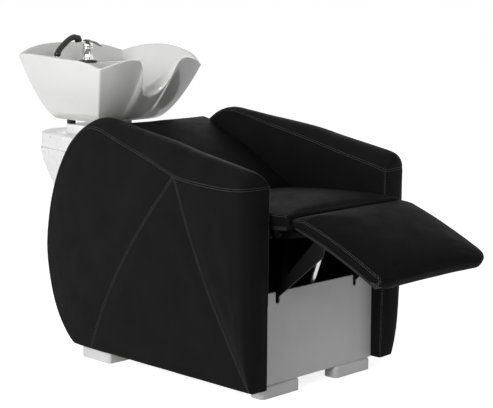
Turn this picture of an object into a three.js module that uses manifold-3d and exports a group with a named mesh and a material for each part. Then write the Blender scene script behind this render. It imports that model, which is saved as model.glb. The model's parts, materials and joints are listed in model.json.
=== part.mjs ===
// Hair washing unit: a tilting ceramic basin on a column, behind a reclined armchair with a lifting legrest.
// Millimetres. x runs across the seat, y from the front of the arms to the rear, z up from the floor.
import * as THREE from 'three';
import Module from 'manifold-3d';
import { mergeVertices } from 'three/addons/utils/BufferGeometryUtils.js';

// Fits shared by all pieces
const gap = 0.3;
const overrun = 20;
const weldDistance = 0.001;
const roundSides = 24;
const pinSides = 16;
const nutSides = 6;
const reliefRoom = 1;

// Armchair
const armSpan = 500;
const armClearance = 37;
const armLength = 960;
const armRise = 734;
const armDepthApex = 120;
const armDepthLowFront = 61;
const armDepthLowRear = 65;
const armFrontWidth = 88;
const armFrontWidthLow = 56;
const armFrontLean = 10;
const armFrontCorner = 50;
const armFrontCornerLow = 8;
const armRearSeamBow = 36;
const armFrontSeamBow = 17;
const armPanelPillow = 6;
const armSwellPower = 1.5;
const armFrontWidthPower = 6;
const armCornerPower = 2;
const armCornerPush = 0.5;
const armFrontTopPower = 8;
const armBandPower = 0.75;
const armBoardWall = 20;
const armBoardThickness = 18;
const armBoardFront = 60;
const armBoardRear = 700;
const armBoardHeight = 460;

// Seat, back and legrest upholstery
const seatFront = -61;
const seatBaseHeight = 520;
const seatLength = 437;
const seatFall = 38;
const seatSideGap = 6;
const seatThickness = 31;
const seatCrown = 18;
const seatRearSwell = 1.42;
const seatSwellGrowth = 2;
const backFootY = 379;
const backFootRise = 15;
const backLength = 455;
const backReclineDeg = 26.3;
const backSideGap = 3;
const backThickness = 45;
const backCrown = 12;
const backArch = 18;
const legrestSideGap = 10;
const legrestLength = 345;
const legrestStartDeg = 18;
const legrestEndDeg = 29;
const legrestThickness = 33;
const legrestCrown = 17;
const legrestHeadGap = 1.2;
const padCorner = 50;
const padBackCorner = 10;
const padDrawIn = 3;
const padEdgeInset = 4;
const padSpineMargin = 60;
const padCrownPower = 2.6;
const boardThickness = 12;
const boardInset = 18;

// Steel frame
const tubeSide = 30;
const tubeWall = 2;
const crossTubeWall = 3;
const backRailWall = 2.5;
const middleTubeY = 375;
const rearTubeY = 760;
const actuatorTubeY = 132;
const seatTubeY = 75;
const seatRailStart = 60;

// Front skirt and its two slots
const skirtY = 48;
const skirtThickness = 6;
const skirtTopShare = 0.5942;
const skirtSideGap = 0.5;
const slotInset = 80;
const slotWidth = 17;
const slotDepth = 35;

// Feet
const footGap = 0.3;
const frontFootInset = 10;
const frontFootWidth = 160;
const frontFootY = 42;
const frontFootDepth = 52;
const rearFootReach = 52;
const rearFootWidth = 90;
const rearFootY = 655;
const rearFootLength = 140;
const footCorner = 9;
const footTopRound = 6;

// Legrest mechanism
const hingeY = 45;
const hingeDrop = 42;
const hingePinRadius = 8;
const hingeBossRadius = 14;
const hingeHeadRadius = 11;
const hingeHeadThickness = 4;
const hingeBracketThickness = 8;
const crankThickness = 6;
const crankBarHalf = 9;
const crankToeY = -118;
const crankToeDrop = 82;
const crankHeelY = 72;
const crankHeelDrop = 25;
const crankArmDepth = 26;
const crankReachShare = 0.52;
const crankHeadInset = 4;
const crankToeShare = 0.42;
const runningClearance = 0.3;
const crossTubeY = 5;
const crossTubeDrop = 39;
const crossTubeRadius = 10;
const actuatorPivotY = 147;
const actuatorPivotZ = 110;
const actuatorPinRadius = 6;
const rodRadius = 8.5;
const rodInsertion = 48;
const rodEyeRadius = 18;
const rodEyeWidth = 24;
const sleeveRadius = 17;
const sleeveBore = 14;
const sleeveStart = 62;
const sleeveEnd = 203;
const gearcaseRadius = 30;
const gearcaseLength = 38;
const motorRadius = 24;
const motorLength = 120;
const motorOffset = 52;
const motorStep = 1;
const lugThickness = 8;
const lugWidth = 32;
const clevisInnerWidth = 26;

// Electrical box under the seat
const controlBoxWidth = 120;
const controlBoxLength = 80;
const controlBoxHeight = 50;
const controlBoxCorner = 8;

// Rear cover panel of the chair
const rearCoverThickness = 8;
const rearCoverBottom = 76;
const rearCoverRise = 152;

// Column behind the chair
const columnChairGap = 31.7;
const columnWall = 4;
const columnTopRise = 161;
const columnCapHeight = 47;
const columnSplitGap = 4;
const columnBottom = 10;
const columnRearSetbackLow = 50;
const columnRearReachHigh = 191;
const columnHalfLow = 101;
const columnHalfHigh = 136;
const columnBulgeShare = 0.89;
const columnBulgePower = 1.333;
const columnFlareDeg = 11;
const columnUpperInset = 4;
const postSide = 60;
const postWall = 3;
const postSetback = 70;
const basePlateThickness = 8;
const basePlateWidth = 200;
const basePlateLength = 170;
const tieThickness = 8;
const tieWidth = 120;
const wasteRadius = 20;
const wasteWall = 2.5;
const wasteBottom = 60;
const wasteClipWidth = 24;
const wasteClipHeight = 20;
const wasteClipZ = 300;
const bootRadius = 32;
const bootBore = 28.5;
const bootLength = 64;
const bootTopDrop = 5;
const sidePanelLength = 210;
const sidePanelHeight = 9;
const sidePanelThickness = 1.6;
const sidePanelDrop = 8;
const sidePanelSetback = 44;
const screwRadius = 2.6;
const screwHead = 1.4;
const screwSides = 12;

// Neck block, tilt hinge and buffers
const neckHalfWidth = 80;
const neckFrontSetback = 30;
const neckRearSetback = 1;
const neckHeight = 31;
const neckCorner = 10;
const neckBore = 30;
const tiltSetback = 25;
const tiltRise = 9;
const tiltPinRadius = 4.5;
const tiltKnuckleRadius = 8;
const tiltKnuckleLength = 14;
const tiltKnuckleX = 38;
const leafThickness = 2.5;
const bufferWidth = 26;
const bufferLength = 22;
const bufferInset = 4;
const mountPlateHalfWidth = 74;
const mountPlateInset = 10;

// Basin
const basinRise = 10;
const basinDepth = 503;
const basinFrontShare = 0.541;
const basinHalfWidth = 262;
const basinHeight = 252;
const basinFootReachFront = 90;
const basinFootReachRear = 140;
const basinFootHalfFront = 120;
const basinFootHalfRear = 105;
const rimThickness = 14;
const rimRound = 4;
const nearRimDrop = 26;
const nearRimDropStartShare = 0.103;
const nearRimDropEndShare = 0.918;
const nearRimDropInner = 170;
const nearRimDropOuter = 235;
const lipWidth = 41;
const bowlSetback = 180;
const bowlFloorRise = 21;
const bowlFloorHalfWidth = 88;
const bowlFloorFrontShare = 0.171;
const bowlFloorRearShare = 0.107;
const drainDish = 4;
const drainRadius = 22;
const drainLip = 34;
const deckRiseShare = 0.75;
const deckDepthShare = 0.31;
const deckThickness = 14;
const deckRearWidthShare = 0.92;
const deckRearSetbackShare = 1.6;
const deckRearLevelShare = 0.86;
const deckEdgeWidthShare = 0.82;
const deckEdgeLevelShare = 0.7;
const deckPocketHalfWidth = 78;
const deckPocketReachFront = 16;
const deckPocketReachRear = 18;
const deckPocketLean = 40;

// Drain fittings
const flangeThickness = 2.4;
const tailRadius = 19;
const tailWall = 2;
const tailDrop = 41;
const strainerRadius = 15;
const strainerHeight = 10;
const strainerKnobRadius = 4;
const strainerKnobHeight = 7;
const strainerSlots = 6;
const strainerSlotWidth = 2.4;

// Mixer tap
const mixerRingRadius = 32;
const mixerRingHeight = 8;
const mixerRingTaperShare = 0.9;
const mixerBodyRadius = 19;
const mixerBodyHeight = 44;
const mixerHeadHeight = 12;
const mixerHeadDome = 4;
const mixerHeadTaperShare = 0.8;
const mixerShankRadius = 8;
const mixerShankBore = 9;
const mixerShankLength = 30;
const mixerNutRadius = 14;
const mixerNutHeight = 8;
const leverReach = 74;
const leverTail = 18;
const leverWidth = 22;
const leverThickness = 6;
const leverCrestShare = 0.7;
const leverTipDrop = 15;
const leverTongueWidth = 8;
const leverTongueLength = 14;
const leverTongueDepth = 9;
const leverLift = 5;
const leverSlotRoom = 4;

// Hand shower and its holder
const showerX = -106;
const showerSetback = 33;
const collarRadius = 15;
const collarHeight = 12;
const collarBore = 9.5;
const collarTaperShare = 0.8;
const ferruleRadius = 9;
const ferruleLength = 18;
const hoseHoleShare = 0.7;
const gripSetback = 5;
const showerTubeRadius = 11.5;
const showerHeadRadius = 13;
const showerHeadLength = 22;
const showerHeadTaperShare = 0.8;
const showerHeadTilt = 0.3;
const sprayRadius = 11;
const sprayThickness = 3;
const showerRise = 85;
const showerReach = 90;

// Resolution of the curved faces
const armRows = 14;
const armFrontColumns = 12;
const armSideColumns = 4;
const armRearColumns = 6;
const armBandRows = 8;
const rimFrontSteps = 14;
const rimSideSteps = 10;
const rimBackSteps = 6;
const bowlWallSteps = 5;
const padCornerSteps = 4;
const padSideSteps = 8;
const legrestBoardSteps = 10;
const columnRearSteps = 14;
const columnLevels = 10;
const blockCornerSteps = 5;
const blockTopSteps = 4;
const showerSteps = 16;
const showerSides = 7;

// Outlines as shares of the sizes above: [length, rise, depth]
const armRearOutlineShares = [
  [0.859, 0, 0.49],
  [0.882, 0.02, 0.5],
  [0.926, 0.083, 0.5],
  [0.967, 0.183, 0.5],
  [0.99, 0.287, 0.5],
  [1, 0.413, 0.5],
  [0.9875, 0.541, 0.5],
  [0.967, 0.651, 0.49],
  [0.932, 0.762, 0.48],
  [0.876, 0.873, 0.47],
  [0.848, 0.91, 0.46],
  [0.804, 0.95, 0.465],
  [0.77, 0.962, 0.48],
  [0.719, 0.9646, 0.517],
  [0.653, 0.9455, 0.583],
  [0.556, 0.914, 0.69],
  [0.476, 0.891, 0.79],
  [0.3635, 0.854, 0.917],
  [0.283, 0.823, 1],
];
const armInnerSeamShares = [
  [0, 0.801],
  [0.085, 0.828],
  [0.192, 0.858],
  [0.369, 0.911],
  [0.546, 0.959],
  [0.629, 0.984],
  [0.703, 1],
  [0.742, 0.992],
  [0.776, 0.974],
  [0.804, 0.95],
];
// Height of the rolled top over its chord, by length
const armCrownShares = [
  [0, 0],
  [0.004, 0.033],
  [0.018, 0.057],
  [0.1, 0.07],
  [0.283, 0.075],
  [0.42, 0.062],
  [0.52, 0.05],
  [0.625, 0.036],
  [0.71, 0.026],
  [0.776, 0.016],
  [0.804, 0.011],
];
const armRearCrownShare = 0.008;
// Plan of the wrapped front: shares of its width and of its corner, then where the cheek bends to the seam
const armFrontShares = [
  [0, 0],
  [0.5, 0.07],
  [0.86, 0.33],
  [1, 1],
];
const armCheekShares = [0.45, 0.42];
const armApexShare = [0.283, 0.823];
const armFrontSeamShare = 0.024;
const armRearSeamShare = 0.766;
// Rim of the basin from the middle of the neck notch round to the middle of the back
const rimFrontShares = [
  [0, 0.133, 0.337],
  [0.107, 0.117, 0.369],
  [0.183, 0.08, 0.464],
  [0.237, 0.04, 0.611],
  [0.282, 0.014, 0.75],
  [0.336, 0.002, 0.821],
  [0.458, 0.006, 0.845],
  [0.649, 0.036, 0.806],
  [0.84, 0.087, 0.73],
];
const rimSideShares = [
  [0.84, 0.087, 0.73],
  [0.93, 0.223, 0.868],
  [0.985, 0.382, 0.937],
  [1, 0.541, 0.972],
  [0.973, 0.72, 0.956],
  [0.927, 0.839, 0.913],
  [0.874, 0.924, 0.865],
];
const rimBackShares = [
  [0.874, 0.924, 0.865],
  [0.649, 0.97, 0.94],
  [0.344, 0.994, 0.988],
  [0, 1, 1],
];
// How far the inner edge of the neck notch stands from its outer edge, as shares of the lip width
const notchLipShares = [
  [0, 1, 0.7],
  [0, 1, 0.68],
  [0.1, 0.9, 0.62],
  [0.15, 0.66, 0.45],
  [0.16, 0.5, 0.25],
  [0.12, 0.42, 0.08],
];
const bodyLevelShares = [0, 0.03, 0.1, 0.2, 0.35, 0.55, 0.75, 0.92];
const bodySwellShare = 0.6;
const columnRearShares = [
  [0, 0],
  [0.432, 0.25],
  [0.6, 0.5],
  [0.748, 0.781],
  [0.794, 0.851],
  [0.833, 0.918],
  [0.879, 0.969],
  [0.924, 1],
];
const padSideShares = [
  [0, 1],
  [0.35, 0.1],
  [0.7, 0],
  [0.93, 0.12],
  [1, 0.4],
];
const padCrownShares = [0.05, 0.14, 0.28, 0.46, 0.68, 0.86];
const legrestRiseShares = [
  [0, 0.5],
  [0.13, 0.97],
  [0.3, 1],
  [1, 0.98],
];
const showerPathShares = [
  [0, 0],
  [0.09, 0.25],
  [0.35, 0.62],
  [0.6, 0.89],
  [0.82, 1],
  [1, 0.93],
];
// Lever stations from tip to tail: along, height, width and thickness
const leverShares = [
  [-1, -1.05, 0.5, 0.35],
  [-0.8, -0.72, 0.75, 0.6],
  [-0.5, -0.2, 0.95, 0.85],
  [-0.15, 0.12, 1, 1],
  [0.35, 0.16, 0.95, 1],
  [0.8, 0.02, 0.75, 0.8],
  [1, -0.08, 0.5, 0.45],
];

// Places that follow from the sizes above
const seatHalfWidth = armSpan / 2 - seatSideGap;
const backHalfWidth = armSpan / 2 - backSideGap;
const legrestHalfWidth = armSpan / 2 - legrestSideGap;
const backFootZ = seatBaseHeight + backFootRise;
const slotX = armSpan / 2 - slotInset;
const frontFootOuter = armSpan / 2 - frontFootInset;
const frontFootInner = frontFootOuter - frontFootWidth;
const rearFootOuter = armSpan / 2 + rearFootReach;
const rearFootInner = rearFootOuter - rearFootWidth;
const skirtTop = skirtTopShare * seatBaseHeight;
const frontTubeY = skirtY + skirtThickness + gap;
const hingeZ = seatBaseHeight - hingeDrop;
const crankToeZ = seatBaseHeight - crankToeDrop;
const crankHeelZ = skirtTop - crankHeelDrop;
const crossTubeZ = seatBaseHeight - crossTubeDrop;
const rearCoverTop = seatBaseHeight + rearCoverRise;
const columnTop = seatBaseHeight + columnTopRise;
const columnSplit = columnTop - columnCapHeight;
const rearCoverY = rearTubeY + tubeSide + gap;
const columnFrontY = rearCoverY + rearCoverThickness + columnChairGap;
const bowlCentreY = columnFrontY + bowlSetback;
const columnRearLow = bowlCentreY - columnRearSetbackLow;
const columnRearHigh = bowlCentreY + columnRearReachHigh;
const postY = bowlCentreY - postSetback;
const bootTop = columnTop - bootTopDrop;
const bootBottom = bootTop - bootLength;
const neckTop = columnTop + neckHeight;
const tiltZ = neckTop + tiltRise;
const basinBottom = tiltZ + basinRise;
const basinFront = bowlCentreY - basinFrontShare * basinDepth;
const basinRear = basinFront + basinDepth;
const basinFootFront = bowlCentreY - basinFootReachFront;
const basinFootRear = bowlCentreY + basinFootReachRear;
const neckFront = basinFootFront + neckFrontSetback;
const neckRear = basinFootRear - neckRearSetback;
const tiltY = neckFront + tiltSetback;
const bowlFloor = basinBottom + bowlFloorRise;
const deckHeight = basinBottom + deckRiseShare * basinHeight;
const deckEdgeY = basinRear - deckDepthShare * basinDepth;
const mixerY = deckEdgeY + mixerRingRadius;
const showerY = mixerY + showerSetback;
const tailBottom = basinBottom - tailDrop;
const baseTubeTop = armClearance + 2 * gap + tubeSide;
const collarFloor = collarHeight / 3;

const wasm = await Module();
wasm.setup();
const unit = new THREE.Group();

// Finishes
function finish(color, roughness, metalness) {
  return new THREE.MeshStandardMaterial({ color, roughness, metalness });
}
const leather = finish(0x1c1c1e, 0.55, 0);
const plywood = finish(0xa98458, 0.7, 0);
const blackSteel = finish(0x17181a, 0.5, 0.6);
const brightSteel = finish(0xc4c6c8, 0.3, 1);
const chrome = finish(0xe2e4e6, 0.08, 1);
const whitePlastic = finish(0xf0f0ee, 0.35, 0);
const greyPanel = finish(0xc9c9c7, 0.4, 0);
const blackPlastic = finish(0x151516, 0.4, 0);
const rubber = finish(0x1a1a1a, 0.85, 0);
const ceramic = finish(0xf6f6f4, 0.12, 0);
const brass = finish(0xb8975a, 0.35, 1);

// Solids from triangles
function cleanMesh(geometry) {
  geometry.deleteAttribute('normal');
  geometry.deleteAttribute('uv');
  const merged = mergeVertices(geometry, weldDistance);
  const index = merged.index.array;
  const triangles = [];
  for (let i = 0; i < index.length; i += 3) {
    const [a, b, c] = [index[i], index[i + 1], index[i + 2]];
    if (a !== b && b !== c && c !== a) triangles.push(a, b, c);
  }
  return new wasm.Mesh({
    numProp: 3,
    vertProperties: new Float32Array(merged.attributes.position.array),
    triVerts: new Uint32Array(triangles),
  });
}

function solidOf(geometry) {
  return new wasm.Manifold(cleanMesh(geometry));
}

function solidOfTriangles(triangles) {
  return solidOf(new THREE.BufferGeometry().setFromPoints(triangles));
}

function addPiece(parent, name, solid, material) {
  const result = solid.getMesh();
  const geometry = new THREE.BufferGeometry();
  geometry.setAttribute('position', new THREE.BufferAttribute(new Float32Array(result.vertProperties), 3));
  geometry.setIndex(new THREE.BufferAttribute(new Uint32Array(result.triVerts), 1));
  geometry.computeVertexNormals();
  const mesh = new THREE.Mesh(geometry, material);
  mesh.name = name;
  parent.add(mesh);
  return mesh;
}

function group(parent, x, y, z) {
  const child = new THREE.Group();
  child.position.set(x, y, z);
  parent.add(child);
  return child;
}

// Side faces between two outlines of equal count
function strip(lower, upper) {
  const triangles = [];
  for (let i = 0; i < lower.length; i += 1) {
    const next = (i + 1) % lower.length;
    triangles.push(lower[i], lower[next], upper[next]);
    triangles.push(lower[i], upper[next], upper[i]);
  }
  return triangles;
}

// A patch of columns and rows whose outer side lies on the left of the column direction
function patch(columns, rows, pointAt) {
  const triangles = [];
  for (let i = 0; i < columns; i += 1) {
    for (let j = 0; j < rows; j += 1) {
      const a = pointAt(i, j);
      const b = pointAt(i + 1, j);
      const c = pointAt(i + 1, j + 1);
      const d = pointAt(i, j + 1);
      triangles.push(a, b, c);
      triangles.push(a, c, d);
    }
  }
  return triangles;
}

// A flat face over a closed outline, facing the given axis direction
function flatFace(points, axis, direction) {
  const [first, second] = { x: ['y', 'z'], y: ['z', 'x'], z: ['x', 'y'] }[axis];
  const flat = points.map((p) => new THREE.Vector2(p[first], p[second]));
  const triangles = [];
  for (const [a, b, c] of THREE.ShapeUtils.triangulateShape(flat, [])) {
    const turn = THREE.ShapeUtils.area([flat[a], flat[b], flat[c]]) * direction;
    const order = turn > 0 ? [a, b, c] : [a, c, b];
    triangles.push(...order.map((k) => points[k]));
  }
  return triangles;
}

function isPoint(ring) {
  return ring.every((p) => p.distanceTo(ring[0]) < weldDistance);
}

// A face over a closed outline, fanned from its middle
function fan(ring, forward) {
  const centre = ring.reduce((sum, p) => sum.add(p), new THREE.Vector3()).multiplyScalar(1 / ring.length);
  const triangles = [];
  ring.forEach((p, i) => {
    const next = ring[(i + 1) % ring.length];
    triangles.push(...(forward ? [centre, p, next] : [centre, next, p]));
  });
  return triangles;
}

function sidesOf(rings) {
  const triangles = [];
  for (let k = 0; k + 1 < rings.length; k += 1) triangles.push(...strip(rings[k], rings[k + 1]));
  return triangles;
}

// Rings that run anticlockwise seen from the end they are stacked towards, with fanned ends
function loft(rings) {
  const triangles = sidesOf(rings);
  const last = rings[rings.length - 1];
  if (!isPoint(rings[0])) triangles.push(...fan(rings[0], false));
  if (!isPoint(last)) triangles.push(...fan(last, true));
  return solidOfTriangles(triangles);
}

// A straight prism of any outline
function prism(lower, upper, axis) {
  return solidOfTriangles([
    ...sidesOf([lower, upper]),
    ...flatFace(lower, axis, -1),
    ...flatFace(upper, axis, 1),
  ]);
}

// Plain building shapes
function box(x0, x1, y0, y1, z0, z1) {
  const geometry = new THREE.BoxGeometry(x1 - x0, y1 - y0, z1 - z0);
  geometry.translate((x0 + x1) / 2, (y0 + y1) / 2, (z0 + z1) / 2);
  return solidOf(geometry);
}

function cylinderBetween(from, to, radius, sides = roundSides, radiusTo = radius) {
  const along = to.clone().sub(from);
  const geometry = new THREE.CylinderGeometry(radiusTo, radius, along.length(), sides);
  const turn = new THREE.Quaternion();
  turn.setFromUnitVectors(new THREE.Vector3(0, 1, 0), along.clone().normalize());
  geometry.applyQuaternion(turn);
  const middle = from.clone().add(to).multiplyScalar(1 / 2);
  geometry.translate(middle.x, middle.y, middle.z);
  return solidOf(geometry);
}

function cylinderX(x0, x1, y, z, radius) {
  return cylinderBetween(new THREE.Vector3(x0, y, z), new THREE.Vector3(x1, y, z), radius, pinSides);
}

function cylinderZ(x, y, z0, z1, radius, sides = roundSides, radiusTo = radius) {
  return cylinderBetween(new THREE.Vector3(x, y, z0), new THREE.Vector3(x, y, z1), radius, sides, radiusTo);
}

// An outline in y and z, extruded along x
function plateX(outline, x0, x1) {
  const flat = outline.map(([y, z]) => new THREE.Vector2(y, z));
  const ordered = THREE.ShapeUtils.isClockWise(flat) ? flat.slice().reverse() : flat;
  const ringAt = (x) => ordered.map((p) => new THREE.Vector3(x, p.x, p.y));
  return prism(ringAt(x0), ringAt(x1), 'x');
}

// An outline in x and y, extruded along z
function plateZ(outline, z0, z1) {
  const flat = outline.map(([x, y]) => new THREE.Vector2(x, y));
  const ordered = THREE.ShapeUtils.isClockWise(flat) ? flat.slice().reverse() : flat;
  const ringAt = (z) => ordered.map((p) => new THREE.Vector3(p.x, p.y, z));
  return prism(ringAt(z0), ringAt(z1), 'z');
}

function roundedOutline(x0, x1, y0, y1, corner, steps = blockCornerSteps) {
  const outline = [];
  const centres = [
    [x1 - corner, y0 + corner, -Math.PI / 2],
    [x1 - corner, y1 - corner, 0],
    [x0 + corner, y1 - corner, Math.PI / 2],
    [x0 + corner, y0 + corner, Math.PI],
  ];
  for (const [x, y, start] of centres) {
    for (let k = 0; k <= steps; k += 1) {
      const angle = start + (k / steps) * (Math.PI / 2);
      outline.push([x + corner * Math.cos(angle), y + corner * Math.sin(angle)]);
    }
  }
  return outline;
}

// A block with round plan corners and a rounded top edge
function roundedBlock(x0, x1, y0, y1, z0, z1, corner, topRound, steps = blockTopSteps) {
  const rings = [];
  const ringAt = (inset, z) =>
    roundedOutline(x0 + inset, x1 - inset, y0 + inset, y1 - inset, corner - inset).map(
      ([x, y]) => new THREE.Vector3(x, y, z),
    );
  rings.push(ringAt(0, z0));
  for (let k = 0; k <= steps; k += 1) {
    const angle = (k / steps) * (Math.PI / 2);
    rings.push(ringAt(topRound * (1 - Math.cos(angle)), z1 - topRound * (1 - Math.sin(angle))));
  }
  return loft(rings);
}

// A square steel tube along x, y or z, as its outside and its bore. The bore runs on at both ends,
// so tubes that are welded together share one open hollow
function squareTube(axis, from, to, u0, v0, side = tubeSide, wall = tubeWall) {
  const section = {
    x: (a, b, w) => box(a, b, u0 + w, u0 + side - w, v0 + w, v0 + side - w),
    y: (a, b, w) => box(u0 + w, u0 + side - w, a, b, v0 + w, v0 + side - w),
    z: (a, b, w) => box(u0 + w, u0 + side - w, v0 + w, v0 + side - w, a, b),
  }[axis];
  return { outside: section(from, to, 0), bore: section(from - side / 2, to + side / 2, wall) };
}

// A square tube that runs in the y-z plane from a lower front corner, along a slope
function slopedTube(x0, start, slope, length, wall = tubeWall) {
  const along = new THREE.Vector2(Math.cos(slope), Math.sin(slope));
  const across = new THREE.Vector2(-Math.sin(slope), Math.cos(slope));
  const cornerAt = (s, h) => [start[0] + s * along.x + h * across.x, start[1] + s * along.y + h * across.y];
  const section = (s0, s1, h0, h1) => [
    cornerAt(s0, h0), cornerAt(s1, h0), cornerAt(s1, h1), cornerAt(s0, h1),
  ];
  const bore = section(-tubeSide / 2, length + tubeSide / 2, wall, tubeSide - wall);
  return {
    outside: plateX(section(0, length, 0, tubeSide), x0, x0 + tubeSide),
    bore: plateX(bore, x0 + wall, x0 + tubeSide - wall),
  };
}

function weld(tubes) {
  const outside = tubes.slice(1).reduce((sum, tube) => sum.add(tube.outside), tubes[0].outside);
  return tubes.reduce((sum, tube) => sum.subtract(tube.bore), outside);
}

function mirrorX(solid) {
  return solid.mirror([1, 0, 0]);
}

function lerp(a, b, t) {
  return a + (b - a) * t;
}

// Value of a table of [key, value] rows at a key
function tableAt(rows, key) {
  if (key <= rows[0][0]) return rows[0][1];
  for (let k = 1; k < rows.length; k += 1) {
    if (key <= rows[k][0]) {
      const t = (key - rows[k - 1][0]) / (rows[k][0] - rows[k - 1][0]);
      return lerp(rows[k - 1][1], rows[k][1], t);
    }
  }
  return rows[rows.length - 1][1];
}

// Upholstered arm: two flat-ish side panels that meet on seams from the apex to the bottom,
// a wrapped front, and a rolled top that narrows to the rear edge
function armSolid() {
  const inner = armSpan / 2;
  const apexY = armApexShare[0] * armLength;
  const apexZ = armClearance + armApexShare[1] * armRise;
  const seamHeight = apexZ - armClearance;
  const frontSeamFoot = armFrontSeamShare * armLength;
  const rearSeamFoot = armRearSeamShare * armLength;
  const innerFrontTop = armClearance + armInnerSeamShares[0][1] * armRise;
  const swell = (t) => 1 - (1 - t) ** armSwellPower;

  const frontSeam = (t) => new THREE.Vector3(
    inner + lerp(armDepthLowFront, armDepthApex, swell(t)),
    lerp(frontSeamFoot, apexY, t) + armFrontSeamBow * Math.sin(Math.PI * t),
    armClearance + seamHeight * t,
  );
  const rearSeam = (t) => new THREE.Vector3(
    inner + lerp(armDepthLowRear, armDepthApex, swell(t)),
    lerp(rearSeamFoot, apexY, t) + armRearSeamBow * Math.sin(Math.PI * t),
    armClearance + seamHeight * t,
  );
  const outlineCurve = new THREE.CatmullRomCurve3(
    armRearOutlineShares.map(([y, z, depth]) => new THREE.Vector3(
      inner + depth * armDepthApex,
      y * armLength,
      armClearance + z * armRise,
    )),
  );
  const rearOutline = [];
  for (let j = 0; j <= armRows; j += 1) rearOutline.push(outlineCurve.getPointAt(j / armRows));
  rearOutline[armRows] = rearSeam(1);

  // Plan section of the wrapped front at a height, from the inner front edge to the front seam
  const frontSections = [];
  for (let j = 0; j <= armRows; j += 1) {
    const t = j / armRows;
    const lean = armFrontLean * (1 - t);
    const corner = lerp(armFrontCornerLow, armFrontCorner, t ** armCornerPower);
    const spread = lerp(armFrontWidthLow, armFrontWidth, 1 - (1 - t) ** armFrontWidthPower);
    const width = spread + armCornerPush * (corner - armFrontCornerLow);
    const seam = frontSeam(t);
    const controls = armFrontShares.map(([across, back]) => [inner + width * across, lean + corner * back]);
    controls.push([
      lerp(inner + width, seam.x, armCheekShares[0]),
      lerp(lean + corner, seam.y, armCheekShares[1]),
    ]);
    controls.push([seam.x, seam.y]);
    const curve = new THREE.CatmullRomCurve3(controls.map(([x, y]) => new THREE.Vector3(x, y, 0)));
    const row = [];
    for (let i = 0; i <= armFrontColumns; i += 1) {
      const w = i / armFrontColumns;
      const point = curve.getPoint(w);
      const top = lerp(innerFrontTop, apexZ, w ** armFrontTopPower);
      point.z = lerp(armClearance, top, t);
      row.push(point);
    }
    row[armFrontColumns] = seam;
    row[0].set(inner, lean, lerp(armClearance, innerFrontTop, t));
    frontSections.push(row);
  }

  const sidePoint = (i, j) => frontSeam(j / armRows).lerp(rearSeam(j / armRows), i / armSideColumns);
  const rearPoint = (i, j) => {
    const w = i / armRearColumns;
    const point = rearSeam(j / armRows).lerp(rearOutline[j], w);
    point.x += armPanelPillow * Math.sin(Math.PI * w) * Math.sin((Math.PI * j) / armRows);
    return point;
  };

  // The rolled top and rear edge, from the outer seam to the inner seam
  const outerSeam = frontSections[armRows].concat(rearOutline.slice(0, armRows).reverse());
  const innerSeamZ = (y) => armClearance + armRise * tableAt(armInnerSeamShares, y / armLength);
  const rollEndY = armInnerSeamShares[armInnerSeamShares.length - 1][0] * armLength;
  const innerSeam = outerSeam.map((p, k) => {
    const onTop = k <= armFrontColumns || (p.y < rollEndY && p.z > apexZ);
    return new THREE.Vector3(inner, p.y, onTop ? innerSeamZ(p.y) : p.z);
  });
  innerSeam[0] = outerSeam[0];
  const bandPoint = (i, j) => {
    const w = j / armBandRows;
    const outer = outerSeam[i];
    const innerPoint = innerSeam[i];
    const before = innerSeam[Math.max(i - 1, 0)];
    const after = innerSeam[Math.min(i + 1, innerSeam.length - 1)];
    const chord = innerPoint.clone().sub(outer).normalize();
    const up = new THREE.Vector3(0, before.z - after.z, after.y - before.y).normalize();
    const lift = up.sub(chord.clone().multiplyScalar(up.dot(chord))).normalize();
    const onTop = outer.y < rollEndY && outer.z > innerFrontTop - gap;
    const crownShare = onTop ? tableAt(armCrownShares, outer.y / armLength) : armRearCrownShare;
    const fade = i === outerSeam.length - 1 || i === 0 ? 0 : 1;
    const height = crownShare * armRise * Math.sin(Math.PI * w) ** armBandPower * fade;
    return outer.clone().lerp(innerPoint, w).add(lift.multiplyScalar(height));
  };
  const bandColumns = outerSeam.length - 1;

  const triangles = [
    ...patch(armFrontColumns, armRows, (i, j) => frontSections[j][i]),
    ...patch(armSideColumns, armRows, sidePoint),
    ...patch(armRearColumns, armRows, rearPoint),
    ...patch(bandColumns, armBandRows, bandPoint),
  ];
  const innerLoop = frontSections.map((row) => row[0]).concat(innerSeam.slice(1));
  triangles.push(...fan(innerLoop, true));
  const bottomLoop = frontSections[0].slice();
  for (let i = 1; i <= armSideColumns; i += 1) bottomLoop.push(sidePoint(i, 0));
  for (let i = 1; i <= armRearColumns; i += 1) bottomLoop.push(rearPoint(i, 0));
  for (let j = 1; j <= armBandRows; j += 1) bottomLoop.push(bandPoint(bandColumns, j));
  triangles.push(...fan(bottomLoop, false));
  return solidOfTriangles(triangles);
}

function armBoard(clearance) {
  const x0 = armSpan / 2 + armBoardWall;
  return box(
    x0 + clearance,
    x0 + armBoardThickness - clearance,
    armBoardFront + clearance,
    armBoardRear - clearance,
    clearance > 0 ? armClearance : armClearance - overrun,
    armClearance + armBoardHeight - clearance,
  );
}

function buildArms() {
  const cover = armSolid().subtract(armBoard(0));
  const board = armBoard(gap);
  addPiece(unit, 'left_arm_cover', cover, leather);
  addPiece(unit, 'right_arm_cover', mirrorX(cover), leather);
  addPiece(unit, 'left_arm_board', board, plywood);
  addPiece(unit, 'right_arm_board', mirrorX(board), plywood);
}

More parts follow.
